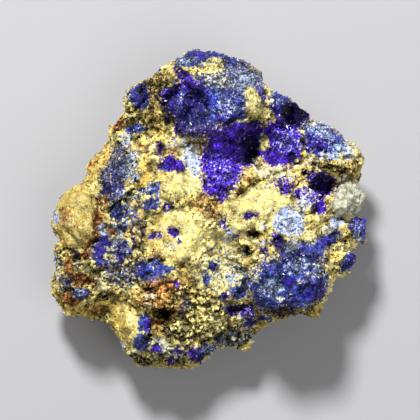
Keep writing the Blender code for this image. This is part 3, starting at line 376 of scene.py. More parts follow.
smallPits = [  # the single small holes: the oval and the depth in mm
    (7.1, -3.9, 1.1, 0.7, -20, 1.3), (11.1, -5.5, 1, 1.2, 10, 1.4), (6, -6.8, 0.7, 0.7, 0, 1.2),
    (-7.3, 9.3, 0.6, 0.9, 0, 1.1), (-5.3, -3.5, 1, 0.6, -25, 0.55),
    (-8.4, -4.1, 0.7, 0.4, 30, 0.45), (6.4, -0.8, 0.9, 0.5, 0, 0.6),
    (2.3, -14.1, 0.5, 0.8, -15, 0.8), (-7.3, -16.3, 1.3, 0.9, 0, 1.4), (5.1, 2.5, 0.7, 0.9, 0, 0.7),
    (13.1, 8, 0.6, 0.8, 0, 0.9), (-11, -4.6, 0.35, 1.8, 4, 0.8), (-10.2, -3.9, 0.3, 1.5, -4, 0.7),
    (-5.7, 0.6, 0.5, 0.7, 20, 0.7), (4.2, -15.8, 1.6, 0.5, 10, 0.8),
    (-0.6, -15.2, 1.4, 0.4, 0, 0.7), (-4.6, 0.9, 0.3, 0.6, 20, 0.7),
]

heights = {  # where each sets in and where it is at its full, in mm
    "patches": (4.2, 8.0),
    "overhangs": (12.5, 9.5),  # which hide most of the patches
    "pits": (8, 10),
    "thinning": (6, 4),
    "scatter": (4, 9),
}
foot = {"from": -14.5, "to": -18.5, "reach": 3.0}  # the part in y where the patches reach lower
# shade is painted shade, not a mineral
minerals = ["shade", "druse", "linarite", "powder", "quartz", "rust", "ochre", "lemon"]  # top first
aroundClouds = {  # what shows off the face: most share, cloud levels it grows between, size, seed
    "lemon": (0.5, 0.25, 0.6, 4, 16), "ochre": (0.5, -0.2, 0.4, 7, 14),
    "quartz": (0.4, 0.1, 0.5, 3.4, 17), "rust": (0.8, 0.0, 0.5, 5.5, 13),
    "linarite": (0.8, 0.2, 0.5, 4.5, 11), "druse": (0.7, 0.35, 0.6, 3.2, 12),
    "shade": (0.4, 0.1, 0.6, 2.6, 15),
}


def tint(red, green, blue):  # a display colour as the linear one a socket holds
    shares = [value / 255 for value in (red, green, blue)]
    linear = [c / 12.92 if c <= 0.04045 else ((c + 0.055) / 1.055) ** 2.4 for c in shares]
    return (*linear, 1.0)


def ease(low, high, values):
    t = np.clip((values - low) / (high - low), 0, 1)
    return t * t * (3 - 2 * t)


def cloud(points, size, seed):  # smooth noise from -1 to 1 whose blobs are about one size wide
    at = points / size + 31.7 * seed
    cell = np.floor(at).astype(np.int64)
    t = at - cell
    t = t * t * (3 - 2 * t)
    total = np.zeros(len(points))
    for corner in range(8):
        step = np.array([corner & 1, corner >> 1 & 1, corner >> 2 & 1])
        x, y, z = (cell + step).T  # large primes scatter each corner's numbers
        bits = (x * 73856093 ^ y * 19349663 ^ z * 83492791 ^ seed * 40503) & 0x7FFFFFFF
        bits = ((bits ^ bits >> 13) * 1274126177 & 0x7FFFFFFF) ^ 0x2545F491
        bits = (bits ^ bits >> 15) & 0xFFFF
        total += (bits / 32767.5 - 1) * np.where(step, t, 1 - t).prod(axis=1)
    return total


def vertexTable(mesh, what="co"):
    table = np.empty(len(mesh.vertices) * 3, dtype=np.float32)
    mesh.vertices.foreach_get(what, table)
    return table.reshape(-1, 3).astype(np.float64)


def moveVertices(mesh, points):
    mesh.vertices.foreach_set("co", points.astype(np.float32).ravel())
    mesh.update()


def writeAttribute(mesh, name, values):
    attribute = mesh.attributes.get(name) or mesh.attributes.new(name, "FLOAT", "POINT")
    attribute.data.foreach_set("value", values.astype(np.float32))


def readAttribute(mesh, name):
    values = np.empty(len(mesh.vertices), dtype=np.float32)
    mesh.attributes[name].data.foreach_get("value", values)
    return values.astype(np.float64)


def ovalShare(x, y, oval, soft=0.3):  # 1 inside an oval and 0 outside, with a soft edge
    cx, cy, rx, ry, turn = oval
    c, s = math.cos(math.radians(turn)), math.sin(math.radians(turn))
    dx, dy = x - cx, y - cy
    far = np.hypot((dx * c + dy * s) / rx, (dy * c - dx * s) / ry)
    edge = max(soft, 0.3 / min(rx, ry))
    return ease(1 + edge, 1 - edge, far)


def turnedUnder(mesh):  # 0 where the surface faces up, 1 where it faces down
    return ease(0.1, -0.3, vertexTable(mesh, "normal")[:, 2])


def mineralLayers(points, warp, front, coat):  # every mineral and its cover, in painting order
    far = points + 2 * warp
    around = {name: most * ease(low, high, cloud(far, size, seed))
              for name, (most, low, high, size, seed) in aroundClouds.items()}
    if coat:
        around = {coat: np.ones(len(points)), "powder": 0.5 * around["druse"],
                  "lemon": 0.4 * around["lemon"], "shade": around["shade"]}
    layers = [(name, cover * (1 - front)) for name, cover in around.items()]
    x, y = (points + warp)[:, :2].T
    for ovals in patches.values():
        layers += [(name, ovalShare(x, y, oval) * share * front) for name, *oval, share in ovals]
    return layers


def paintMinerals(mesh, coat=None):  # writes each mineral's share on each vertex
    points = vertexTable(mesh) / mm
    if "turnedUnder" not in mesh.attributes:  # of the smooth form, before it is roughened
        writeAttribute(mesh, "turnedUnder", turnedUnder(mesh))
    warp = [0.5 * cloud(points, 1.5, seed) + 0.3 * cloud(points, 0.6, seed + 5)
            for seed in (1, 2, 3)]
    warp = np.stack(warp, 1)  # makes the patches' edges wander
    level = points[:, 2] + foot["reach"] * ease(foot["from"], foot["to"], points[:, 1])
    front = ease(*heights["patches"], level + 1.5 * cloud(points, 3, 9))
    turned = readAttribute(mesh, "turnedUnder")
    front = front * (1 - 0.6 * turned * ease(*heights["overhangs"], points[:, 2]))
    layers = mineralLayers(points, warp, front, coat)
    shares = {name: np.zeros(len(points)) for name in minerals}
    under = {name: np.zeros(len(points)) for name in ("druse", "linarite")}  # if nothing shaded it
    for name, cover in layers:
        for other in minerals:
            shares[other] *= 1 - cover
        shares[name] += cover
        if name != "shade":
            for other in under:
                under[other] = under[other] * (1 - cover) + (cover if name == other else 0)
    left = np.ones(len(points))
    for name in minerals:  # a share of what those over it leave, as a level to add noise to
        share = np.clip(shares[name] / np.maximum(left, 0.001), 0.001, 0.999)
        writeAttribute(mesh, name, np.log(share / (1 - share)) / 1.7)
        left -= shares[name]
    blue = under["druse"] + under["linarite"]
    writeAttribute(mesh, "blades", shares["linarite"] + shares["druse"] + 0.15 * shares["powder"]
                   + 0.2 * shares["shade"] * np.clip(blue, 0, 1))
    writeAttribute(mesh, "violet", under["druse"] / np.maximum(blue, 0.01))
    writeAttribute(mesh, "dull", ease(0.9, 0.4, under["linarite"] + 1.5 * under["druse"]))
    writeAttribute(mesh, "blueness", blue)
    writeAttribute(mesh, "grain", np.full(len(points), 0.5))
    calm = np.zeros(len(points))
    for *oval, share in calmPatches:
        calm = np.maximum(calm, share * front * ovalShare(points[:, 0], points[:, 1], oval))
    writeAttribute(mesh, "calm", calm)
    bare = ease(0.25, 0.75, 1 - under["linarite"] - under["druse"])
    writeAttribute(mesh, "crumbs", bare * (1 - 0.85 * calm))
    x, y = (points + warp)[:, :2].T
    porous = 0.45 * (1 - front)
    for *oval, share in porousPatches:
        porous = np.maximum(porous, share * ovalShare(x, y, oval, 0.6) * front)
    writeAttribute(mesh, "porous", porous)
    # the gains as one: partly the minerals' own colour, partly painted light and shade
    tone = np.ones(len(points))
    for *oval, gain in toneAndLightPatches:
        tone *= 1 + (gain - 1) * ovalShare(x, y, oval, 0.5) * front
    writeAttribute(mesh, "tone", tone)


def keepInBox(mesh, margin=0.00001):
    moveVertices(mesh, np.clip(vertexTable(mesh), cadLow + margin, cadHigh - margin))


def applied(piece):  # the object with its modifiers run
    bpy.context.view_layer.update()
    graph = bpy.context.evaluated_depsgraph_get()
    mesh = bpy.data.meshes.new_from_object(piece.evaluated_get(graph), depsgraph=graph)
    piece.modifiers.clear()
    old = piece.data
    piece.data = mesh
    mesh.name = piece.name
    if old.users == 0:
        bpy.data.meshes.remove(old)
    return piece


def linked(name, data):
    piece = bpy.data.objects.new(name, data)
    bpy.context.scene.collection.objects.link(piece)
    return piece


def copied(node, pieceName, joinWithin=0.000002):  # a node's mesh, its loose triangles joined
    whole = bmesh.new()
    whole.from_mesh(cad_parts[node].data)
    bmesh.ops.remove_doubles(whole, verts=whole.verts, dist=joinWithin)
    mesh = bpy.data.meshes.new(pieceName)
    whole.to_mesh(mesh)
    whole.free()
    mesh.materials.clear()
    return linked(pieceName, mesh)


# Helpers for the shader and geometry trees.
def put(tree, kind, inputs=None, **settings):
    node = tree.nodes.new(kind)
    node.location = (220 * (len(tree.nodes) % 12), -260 * (len(tree.nodes) // 12))
    for name, value in settings.items():
        setattr(node, name, value)
    for key, value in (inputs or {}).items():
        if isinstance(value, bpy.types.NodeSocket):
            tree.links.new(value, node.inputs[key])
        else:
            node.inputs[key].default_value = value
    return node


def sums(tree, operation, *values):
    return put(tree, "ShaderNodeMath", dict(enumerate(values)), operation=operation).outputs[0]


def times(tree, *values):
    return sums(tree, "MULTIPLY", *values)


def vectors(tree, operation, *values):
    inputs = dict(enumerate(values))
    return put(tree, "ShaderNodeVectorMath", inputs, operation=operation).outputs[0]


def scaled(tree, vector, factor):
    inputs = {0: vector, "Scale": factor}
    return put(tree, "ShaderNodeVectorMath", inputs, operation="SCALE").outputs[0]


def between(tree, value, low, high, toLow=0.0, toHigh=1.0):
    node = put(tree, "ShaderNodeMapRange", {0: value, 1: low, 2: high, 3: toLow, 4: toHigh},
               interpolation_type="SMOOTHSTEP")
    return node.outputs[0]


def mixed(tree, share, first, second, way="MIX"):
    return put(tree, "ShaderNodeMix", {0: share, 6: first, 7: second}, data_type="RGBA",
               blend_type=way).outputs[2]


def blend(tree, value, low, high, first, second, most=1.0):  # from one to the other as it rises
    return mixed(tree, between(tree, value, low, high, 0.0, most), first, second)


def lit(tree, colour, light):  # a colour made lighter or darker
    grey = put(tree, "ShaderNodeCombineColor", {0: light, 1: light, 2: light}).outputs[0]
    return mixed(tree, 1.0, colour, grey, "MULTIPLY")


def noise(tree, place, scale, detail=2.0, roughness=0.5):
    inputs = {"Scale": scale, "Detail": detail, "Roughness": roughness}
    if place is not None:
        inputs["Vector"] = place
    return put(tree, "ShaderNodeTexNoise", inputs).outputs


def parts(tree, colour):  # three independent noises from one
    return put(tree, "ShaderNodeSeparateColor", {0: colour}).outputs


def wobble(tree, colour, reach):  # a noise as an offset, by half the reach each way at most
    centred = vectors(tree, "SUBTRACT", colour, (0.5, 0.5, 0.5))
    return vectors(tree, "MULTIPLY", centred, (reach, reach, reach))


def painted(tree, name):  # an attribute's value, for a shader
    kind = "ShaderNodeAttribute"
    return put(tree, kind, attribute_name=name, attribute_type="GEOMETRY").outputs["Fac"]


def stored(tree, name):  # an attribute's value, for a geometry tree
    kind = "GeometryNodeInputNamedAttribute"
    return put(tree, kind, {"Name": name}, data_type="FLOAT").outputs[0]


def store(tree, geometry, name, value, domain):
    inputs = {"Geometry": geometry, "Name": name, "Value": value}
    kind = "GeometryNodeStoreNamedAttribute"
    return put(tree, kind, inputs, data_type="FLOAT", domain=domain).outputs[0]


valueKinds = {float: "Float", int: "Int", str: "String", tuple: "Vector"}


def newGroup(name, kind, inputs, outputs):  # an input with no value has the kind it is named for
    tree = bpy.data.node_groups.new(name, kind)
    for socketName, value in inputs.items():
        socketKind = "NodeSocket" + valueKinds.get(type(value), socketName)
        socket = tree.interface.new_socket(socketName, in_out="INPUT", socket_type=socketKind)
        if value is not None:
            socket.default_value = value
    for socketName, socketKind in outputs.items():
        tree.interface.new_socket(
            socketName, in_out="OUTPUT", socket_type="NodeSocket" + socketKind)
    start = tree.nodes.new("NodeGroupInput")
    end = tree.nodes.new("NodeGroupOutput")
    return tree, start.outputs, end.inputs


def endTree(tree, geometry, material, out):
    real = put(tree, "GeometryNodeRealizeInstances", {"Geometry": geometry}).outputs[0]
    done = put(tree, "GeometryNodeSetMaterial", {"Geometry": real, "Material": material})
    tree.links.new(done.outputs[0], out["Geometry"])
    return tree


def runTree(piece, tree, **values):  # puts a tree on a piece with its inputs, and applies it
    modifier = piece.modifiers.new(tree.name, "NODES")
    modifier.node_group = tree
    for item in tree.interface.items_tree:
        if item.item_type == "SOCKET" and item.in_out == "INPUT" and item.name in values:
            modifier[item.identifier] = values[item.name]
    return applied(piece)


# The minerals' colours and the materials.
tints = {
    "cream": tint(249, 240, 178), "lemon": tint(244, 225, 132), "ochre": tint(214, 178, 88),
    "olive": tint(112, 98, 44), "rust": tint(190, 118, 60), "orange": tint(226, 168, 92),
    "umber": tint(92, 56, 28), "azure": tint(58, 70, 180), "deepAzure": tint(22, 19, 86),
    "teal": tint(112, 146, 178), "slate": tint(92, 112, 140), "violet": tint(92, 40, 222),
    "deepViolet": tint(38, 10, 126), "powder": tint(188, 204, 242), "quartz": tint(240, 241, 232),
    # The two pit colours are painted shade, for holes, cracks and the openings between crumbs.
    "glint": tint(214, 222, 250), "pit": tint(24, 16, 10), "violetPitShade": tint(42, 24, 136),
    "quartzBody": tint(174, 172, 148), "quartzVeil": tint(248, 246, 224),
}
paintOutputs = {"Color": "Color", "Roughness": "Float", "Height": "Float"}


def buildMineralPaint():  # colour, roughness and height of the mixed minerals at a place
    tree, given, out = newGroup("mineralPaint", "ShaderNodeTree", {
        "Vector": None, "Grain size": 0.45, "Speckle": 12.0}, paintOutputs)
    scale = sums(tree, "DIVIDE", 1 / mm, given["Grain size"])
    shift = wobble(tree, noise(tree, given["Vector"], scale)["Color"], 0.5 * mm)
    place = vectors(tree, "ADD", given["Vector"], shift)
    speck = parts(tree, noise(tree, place, scale, 3.0, 0.65)["Color"])
    patch = parts(tree, noise(tree, place, 0.45 / mm, 3.0)["Color"])
    grainScale = times(tree, scale, 1.3)
    grains = put(tree, "ShaderNodeTexVoronoi", {"Vector": place, "Scale": grainScale}).outputs
    grain = parts(tree, grains["Color"])
    fine = noise(tree, given["Vector"], 4.2 / mm)["Fac"]

    rock = blend(tree, patch[0], 0.36, 0.62, tints["ochre"], tints["lemon"])
    rock = blend(tree, grain[0], 0.55, 0.95, rock, tints["cream"])
    rock = blend(tree, speck[0], 0.54, 0.68, rock, tints["olive"], 0.75)
    lemon = blend(tree, grain[1], 0.2, 0.8, tints["lemon"], tints["cream"])
    ochre = blend(tree, grain[1], 0.2, 0.9, tints["ochre"], tints["lemon"])
    rust = blend(tree, grain[2], 0.45, 1.0, tints["rust"], tints["umber"])
    rust = blend(tree, grain[2], 0.35, 0.15, rust, tints["orange"])
    quartz = mixed(tree, grain[0], tints["quartz"], tints["cream"])
    powder = blend(tree, grain[1], 0.5, 1.1, tints["powder"], tints["quartz"])
    blue = blend(tree, patch[1], 0.38, 0.6, tints["deepAzure"], tints["azure"])
    blue = blend(tree, speck[1], 0.5, 0.66, blue, tints["teal"], 0.8)
    dull = blend(tree, grain[0], 0.2, 0.9, tints["slate"], tints["teal"])
    blue = mixed(tree, times(tree, painted(tree, "dull"), 0.75), blue, dull)
    violet = blend(tree, grain[2], 0.2, 0.9, tints["violet"], tints["deepViolet"])
    # The colour of painted shade: brown-black on the rock, violet-black among the blue crusts.
    dark = mixed(tree, painted(tree, "blueness"), tints["pit"], tints["violetPitShade"])
    covers = {}  # each mineral's mask, broken into specks where its share is partial
    for name, level, soft, colour in (
            ("lemon", speck[1], 0.6, lemon), ("ochre", speck[2], 0.6, ochre),
            ("rust", speck[0], 0.5, rust), ("quartz", speck[2], 0.25, quartz),
            ("powder", speck[1], 0.25, powder), ("linarite", speck[0], 0.25, blue),
            ("druse", speck[2], 0.25, violet), ("shade", speck[1], 0.5, dark)):
        shaken = times(tree, sums(tree, "SUBTRACT", level, 0.5), given["Speckle"])
        shaken = sums(tree, "ADD", painted(tree, name), shaken)
        covers[name] = between(tree, shaken, -soft, soft)
        rock = mixed(tree, covers[name], rock, colour)

    # Painted shade in the rock's openings: dark specks where it is porous, fewer where it is calm.
    edge = between(tree, painted(tree, "porous"), 0.0, 1.0, 0.385, 0.48)
    calm = between(tree, painted(tree, "calm"), 0.0, 1.0, 0.0, 0.05)
    edge = sums(tree, "SUBTRACT", edge, calm)
    poreShade = sums(tree, "SUBTRACT", edge, noise(tree, place, 1.8 / mm)["Fac"])
    rock = blend(tree, poreShade, -0.02, 0.04, rock, dark, 0.92)
    # Lighter and darker by fine noise and by grain, which are the minerals' own mottling; by
    # relief, as painted shade in creases and pits and painted light on the crumbs.
    light = between(tree, fine, 0.3, 0.7, 0.7, 1.2)
    for name, *levels in (("relief", -0.38, 0.1, 0.25, 1.15), ("grain", 0.0, 1.0, 0.7, 1.25)):
        light = times(tree, light, between(tree, painted(tree, name), *levels))
    # then by the gain of the lighter and darker ovals: partly the minerals' own colour, partly
    # painted light and shade
    light = times(tree, light, painted(tree, "tone"))
    tree.links.new(lit(tree, rock, light), out["Color"])
    glossy = sums(tree, "MAXIMUM", covers["linarite"], covers["druse"])
    glossy = times(tree, glossy, sums(tree, "SUBTRACT", 1.0, covers["shade"]))
    tree.links.new(between(tree, glossy, 0.0, 1.0, 0.85, 0.38), out["Roughness"])
    height = sums(tree, "ADD", times(tree, grains["Distance"], -0.6), fine)
    tree.links.new(height, out["Height"])
    return tree


def buildBladePaint(paint):  # the single crystals, from navy to violet, a few of them painted near white as painted glints
    tree, given, out = newGroup("bladePaint", "ShaderNodeTree", {
        "Vector": None, "Glints": 0.1, "Local share": 0.5}, paintOutputs)
    chance = painted(tree, "grain")
    other = sums(tree, "FRACT", times(tree, chance, 17.3))
    zone = parts(tree, noise(tree, given["Vector"], 0.7 / mm)["Color"])
    blue = blend(tree, chance, 0.1, 0.85, tints["deepAzure"], tints["azure"])
    blue = blend(tree, zone[0], 0.5, 0.7, blue, tints["teal"], 0.6)
    blue = mixed(tree, times(tree, painted(tree, "dull"), 0.6), blue, tints["slate"])
    violet = blend(tree, chance, 0.1, 0.7, tints["deepViolet"], tints["violet"])
    body = mixed(tree, painted(tree, "violet"), blue, violet)
    local = put(tree, "ShaderNodeGroup", {"Vector": given["Vector"]}, node_tree=paint)
    isLocal = sums(tree, "LESS_THAN", other, given["Local share"])
    body = mixed(tree, isLocal, body, local.outputs["Color"])
    # A few crystals painted near white: painted glints.
    glintFrom = sums(tree, "SUBTRACT", 1.0, given["Glints"])
    body = blend(tree, chance, glintFrom, 1.0, body, tints["glint"])
    veins = noise(tree, given["Vector"], 3.0 / mm)["Fac"]
    light = between(tree, veins, 0.3, 0.7, 0.75, 1.2)
    light = times(tree, light, between(tree, zone[1], 0.36, 0.64, 0.5, 1.4))
    # painted shade in creases and pits and painted light on bumps, by relief
    relief = between(tree, painted(tree, "relief"), -0.3, 0.2, 0.4, 1.15)
    # and by the gain of the lighter and darker ovals, partly painted light and shade
    light = times(tree, times(tree, light, relief), painted(tree, "tone"))
    tree.links.new(lit(tree, body, light), out["Color"])
    tree.links.new(between(tree, veins, 0.3, 0.7, 0.12, 0.34), out["Roughness"])
    tree.links.new(veins, out["Height"])
    return tree


def newMaterial(name):  # its tree holds only the place on the object
    material = bpy.data.materials.new(name)
    material.use_nodes = True
    tree = material.node_tree
    tree.nodes.clear()
    return material, tree, put(tree, "ShaderNodeTexCoord").outputs["Object"]


def endMaterial(tree, height, look, inputs):
    bump = put(tree, "ShaderNodeBump", {
        "Strength": look["bump"], "Distance": look["bumpHeight"] * mm, "Height": height})
    shader = put(tree, "ShaderNodeBsdfPrincipled", {
        "Normal": bump.outputs[0], "IOR": look["ior"], **inputs})
    ending = put(tree, "ShaderNodeOutputMaterial", {"Surface": shader.outputs[0]})
    ending.is_active_output = True


def buildMaterial(name, paint, look):
    material, tree, place = newMaterial(name)
    group = put(tree, "ShaderNodeGroup", {"Vector": place}, node_tree=paint)
    for key, value in look.items():
        if key in group.inputs:
            group.inputs[key].default_value = value
    endMaterial(tree, group.outputs["Height"], look, {
        "Base Color": group.outputs["Color"], "Roughness": group.outputs["Roughness"],
        "Specular IOR Level": look["specular"]})
    return material


def buildQuartz(look):  # cloudy quartz, grey to cream, with milky veils
    material, tree, place = newMaterial("cloudyQuartz")
    veils = noise(tree, place, 0.9 / mm, 4.0, 0.65)["Fac"]
    stain = noise(tree, place, 0.5 / mm, 3.0)["Fac"]
    body = blend(tree, veils, 0.36, 0.62, tints["quartzBody"], tints["quartzVeil"])
    body = blend(tree, stain, 0.56, 0.7, body, tints["lemon"], 0.6)
    endMaterial(tree, veils, look, {
        "Base Color": body, "Roughness": between(tree, veils, 0.3, 0.7, 0.2, 0.45),
        "Transmission Weight": look["clearness"]})
    return material


mineralPaint = buildMineralPaint()
rockLook = {"Grain size": 0.5, "bump": 0.7, "bumpHeight": 0.12, "ior": 1.5, "specular": 0.2}
crustLook = {"Grain size": 0.42, "bump": 0.8, "bumpHeight": 0.12, "ior": 1.8, "specular": 0.18}
bladeLook = {"Glints": 0.07, "Local share": 0.5, "bump": 0.3, "bumpHeight": 0.03,
             "ior": 1.8, "specular": 0.5}
quartzLook = {"bump": 0.6, "bumpHeight": 0.1, "ior": 1.54, "clearness": 0.25}
rockMaterial = buildMaterial("crumblyMatrix", mineralPaint, rockLook)
crustMaterial = buildMaterial("linariteCrust", mineralPaint, crustLook)
bladeMaterial = buildMaterial("linariteBlade", buildBladePaint(mineralPaint), bladeLook)
quartzMaterial = buildQuartz(quartzLook)
print("materials built")


# The rough form of rock, crusts and knob alike.
def buildCrumbleTree():  # lumps, crumbs and pits pushed out of a surface
    tree, given, out = newGroup("crumbleSurface", "GeometryNodeTree", {
        "Geometry": None, "Lump size": 1.6, "Lump height": 0.5, "Crumb size": 0.75,
        "Crumb height": 0.4, "Fine size": 0.35, "Fine height": 0.2, "Pit share": 0.36,
        "Pit depth": 0.6, "Material": None}, {"Geometry": "Geometry"})
    position = put(tree, "GeometryNodeInputPosition").outputs[0]
    place = vectors(tree, "DIVIDE", position, (mm, mm, mm))
    place = vectors(tree, "ADD", place, wobble(tree, noise(tree, place, 0.8)["Color"], 1.6))
    total = None
    for level in ("Lump", "Crumb", "Fine"):
        cells = put(tree, "ShaderNodeTexVoronoi", {
            "Vector": place, "Scale": sums(tree, "DIVIDE", 1.0, given[level + " size"])})
        bulge = sums(tree, "SUBTRACT", 0.45, cells.outputs["Distance"])
        bulge = times(tree, bulge, given[level + " height"])
        total = bulge if total is None else sums(tree, "ADD", total, bulge)
    pitEdge = sums(tree, "SUBTRACT", given["Pit share"], 0.05)
    holes = noise(tree, place, 0.95)["Fac"]
    pits = between(tree, holes, pitEdge, given["Pit share"], 1.0, 0.0)
    total = sums(tree, "SUBTRACT", total, times(tree, pits, given["Pit depth"]))
    for name, most in (("calm", 0.22), ("porous", 1.4)):
        total = times(tree, total, between(tree, stored(tree, name), 0.0, 1.0, 1.0, most))
    kept = store(tree, given["Geometry"], "relief", total, "POINT")
    normal = put(tree, "GeometryNodeInputNormal").outputs[0]
    push = scaled(tree, normal, times(tree, stored(tree, "relief"), mm))
    moved = put(tree, "GeometryNodeSetPosition", {"Geometry": kept, "Offset": push})
    return endTree(tree, moved.outputs[0], given["Material"], out)


def smoothed(piece, rounds, factor=0.5):
    modifier = piece.modifiers.new("smooth", "SMOOTH")
    modifier.factor, modifier.iterations = factor, rounds
    return applied(piece)


def remeshed(piece, voxel):
    modifier = piece.modifiers.new("remesh", "REMESH")
    modifier.mode, modifier.voxel_size = "VOXEL", voxel * mm
    return applied(piece)


def thinned(piece, share, groupName=""):  # with fewer faces, where the vertex group says
    modifier = piece.modifiers.new("thin", "DECIMATE")
    modifier.ratio, modifier.vertex_group = share, groupName
    return applied(piece)


crumbleTree = buildCrumbleTree()


def roughened(node, pieceName, settings, material, coat=None):  # a node as a rough mineral piece
    piece = remeshed(copied(node, pieceName), settings["voxel"])
    piece = smoothed(piece, settings["rounds"])
    paintMinerals(piece.data, coat)
    sizes = {name: value for name, value in settings.items() if name[0].isupper()}  # the tree's
    return runTree(piece, crumbleTree, Material=material, **sizes)


def sinkPits(mesh):  # the single holes and dents of the display face
    points = vertexTable(mesh)
    warp = np.stack([0.2 * cloud(points / mm, 0.6, seed) for seed in (21, 22, 23)], 1)
    x, y = (points / mm + warp)[:, :2].T
    depth = np.zeros(len(points))
    for *oval, deep in smallPits:
        depth = np.maximum(depth, deep * ovalShare(x, y, oval))
    for *oval, deep in hollows:
        depth += deep * ovalShare(x, y, oval)
    depth *= ease(*heights["pits"], points[:, 2] / mm)
    points[:, 2] -= depth * mm
    moveVertices(mesh, points)
    # lower relief in the pits and hollows, which the paint shows as painted shade
    relief = readAttribute(mesh, "relief") - 0.4 * np.clip(depth, 0, 1)
    writeAttribute(mesh, "relief", relief)


def thinBack(piece, share):  # fewer faces on the broken back, which has no fine relief
    points = vertexTable(piece.data) / mm
    weight = np.maximum(turnedUnder(piece.data), ease(*heights["thinning"], points[:, 2]))
    group = piece.vertex_groups.new(name="back")
    for level in range(1, 11):
        chosen = np.nonzero(np.round(weight * 10) == level)[0]
        group.add(chosen.tolist(), level / 10, "REPLACE")
    return thinned(piece, share, group.name)


def triangleCount(mesh):
    return len(mesh.loops) - 2 * len(mesh.polygons)


def finished(piece, coat=None, smooth=True):
    mesh = piece.data
    keepInBox(mesh)
    paintMinerals(mesh, coat)
    mesh.polygons.foreach_set("use_smooth", [smooth] * len(mesh.polygons))
    print(piece.name, triangleCount(mesh))


rockSettings = {
    "voxel": 0.24, "rounds": 6, "Lump size": 1.8, "Lump height": 0.6, "Crumb size": 0.95,
    "Crumb height": 0.7, "Fine size": 0.45, "Fine height": 0.24, "Pit share": 0.38,
    "Pit depth": 0.6, "triangles": 190000,
}
rock = roughened("matrix", "matrixRock", rockSettings, rockMaterial)
sinkPits(rock.data)
rock = thinBack(rock, min(1.0, rockSettings["triangles"] / triangleCount(rock.data)))
finished(rock)


def surfaceTree(mesh):  # a tree of a mesh's faces, for nearest places
    return BVHTree.FromPolygons([v.co for v in mesh.vertices], [p.vertices for p in mesh.polygons])


# The crusts, whose edges and undersides are drawn down into the rock.
crustSettings = {
    "voxel": 0.18, "rounds": 4, "Lump size": 1.4, "Lump height": 0.6, "Crumb size": 0.75,
    "Crumb height": 0.55, "Fine size": 0.42, "Fine height": 0.16, "Pit share": 0.33,
    "Pit depth": 0.4, "gap": 0.55, "fullyDown": 0.35, "sink": 0.25,
}
rockNear = surfaceTree(rock.data)


def seatOnRock(mesh, settings):
    gap, fullyDown, sink = settings["gap"], settings["fullyDown"], settings["sink"]
    points = vertexTable(mesh)
    for i, point in enumerate(points):
        place, normal, _, distance = rockNear.find_nearest(Vector(point))
        inside = (Vector(point) - place).dot(normal) < 0
        if distance < (sink if inside else gap) * mm:
            share = 1 - max(0.0, distance / mm - fullyDown) / (gap - fullyDown)
            goal = np.array(place - normal * sink * mm)
            points[i] = points[i] + (goal - points[i]) * (1.0 if inside else share)
    moveVertices(mesh, points)


crusts = []
for node in crustNodes:
    words = node.split("_")
    pieceName = words[0] + "".join(word.capitalize() for word in words[1:])
    slotName = "linarite_" + words[-1]
    coat = "druse" if words[-1] == "druse" else "linarite"
    crust = roughened(node, pieceName, crustSettings, crustMaterial, coat)
    sinkPits(crust.data)
    seatOnRock(crust.data, crustSettings)
    finished(crust, coat)
    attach(crust, "root")
    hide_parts(node)
    crusts.append(crust)

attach(rock, "root")
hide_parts("matrix")

# The knob, left with flat facets.
quartzSettings = {
    "voxel": 0.2, "rounds": 4, "Lump size": 1.3, "Lump height": 0.75, "Crumb size": 0.7,
    "Crumb height": 0.4, "Fine size": 0.42, "Fine height": 0.1, "Pit share": 0.3,
    "Pit depth": 0.3, "facets": 0.3, "crumbs": 0.12,
}
knob = roughened("quartz_knob", "quartzKnob", quartzSettings, quartzMaterial, "quartz")
knob = thinned(knob, quartzSettings["facets"])
finished(knob, "quartz", smooth=False)
crumbShare = quartzSettings["crumbs"] * readAttribute(knob.data, "crumbs")
writeAttribute(knob.data, "crumbs", crumbShare)
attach(knob, "root")
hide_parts("quartz_knob")


# Loose crumbs and single crystals over all of it.
def randomVector(tree, low, high, seed, step):
    inputs = {0: low, 1: high, "Seed": sums(tree, "ADD", seed, step)}
    return put(tree, "FunctionNodeRandomValue", inputs, data_type="FLOAT_VECTOR").outputs[0]


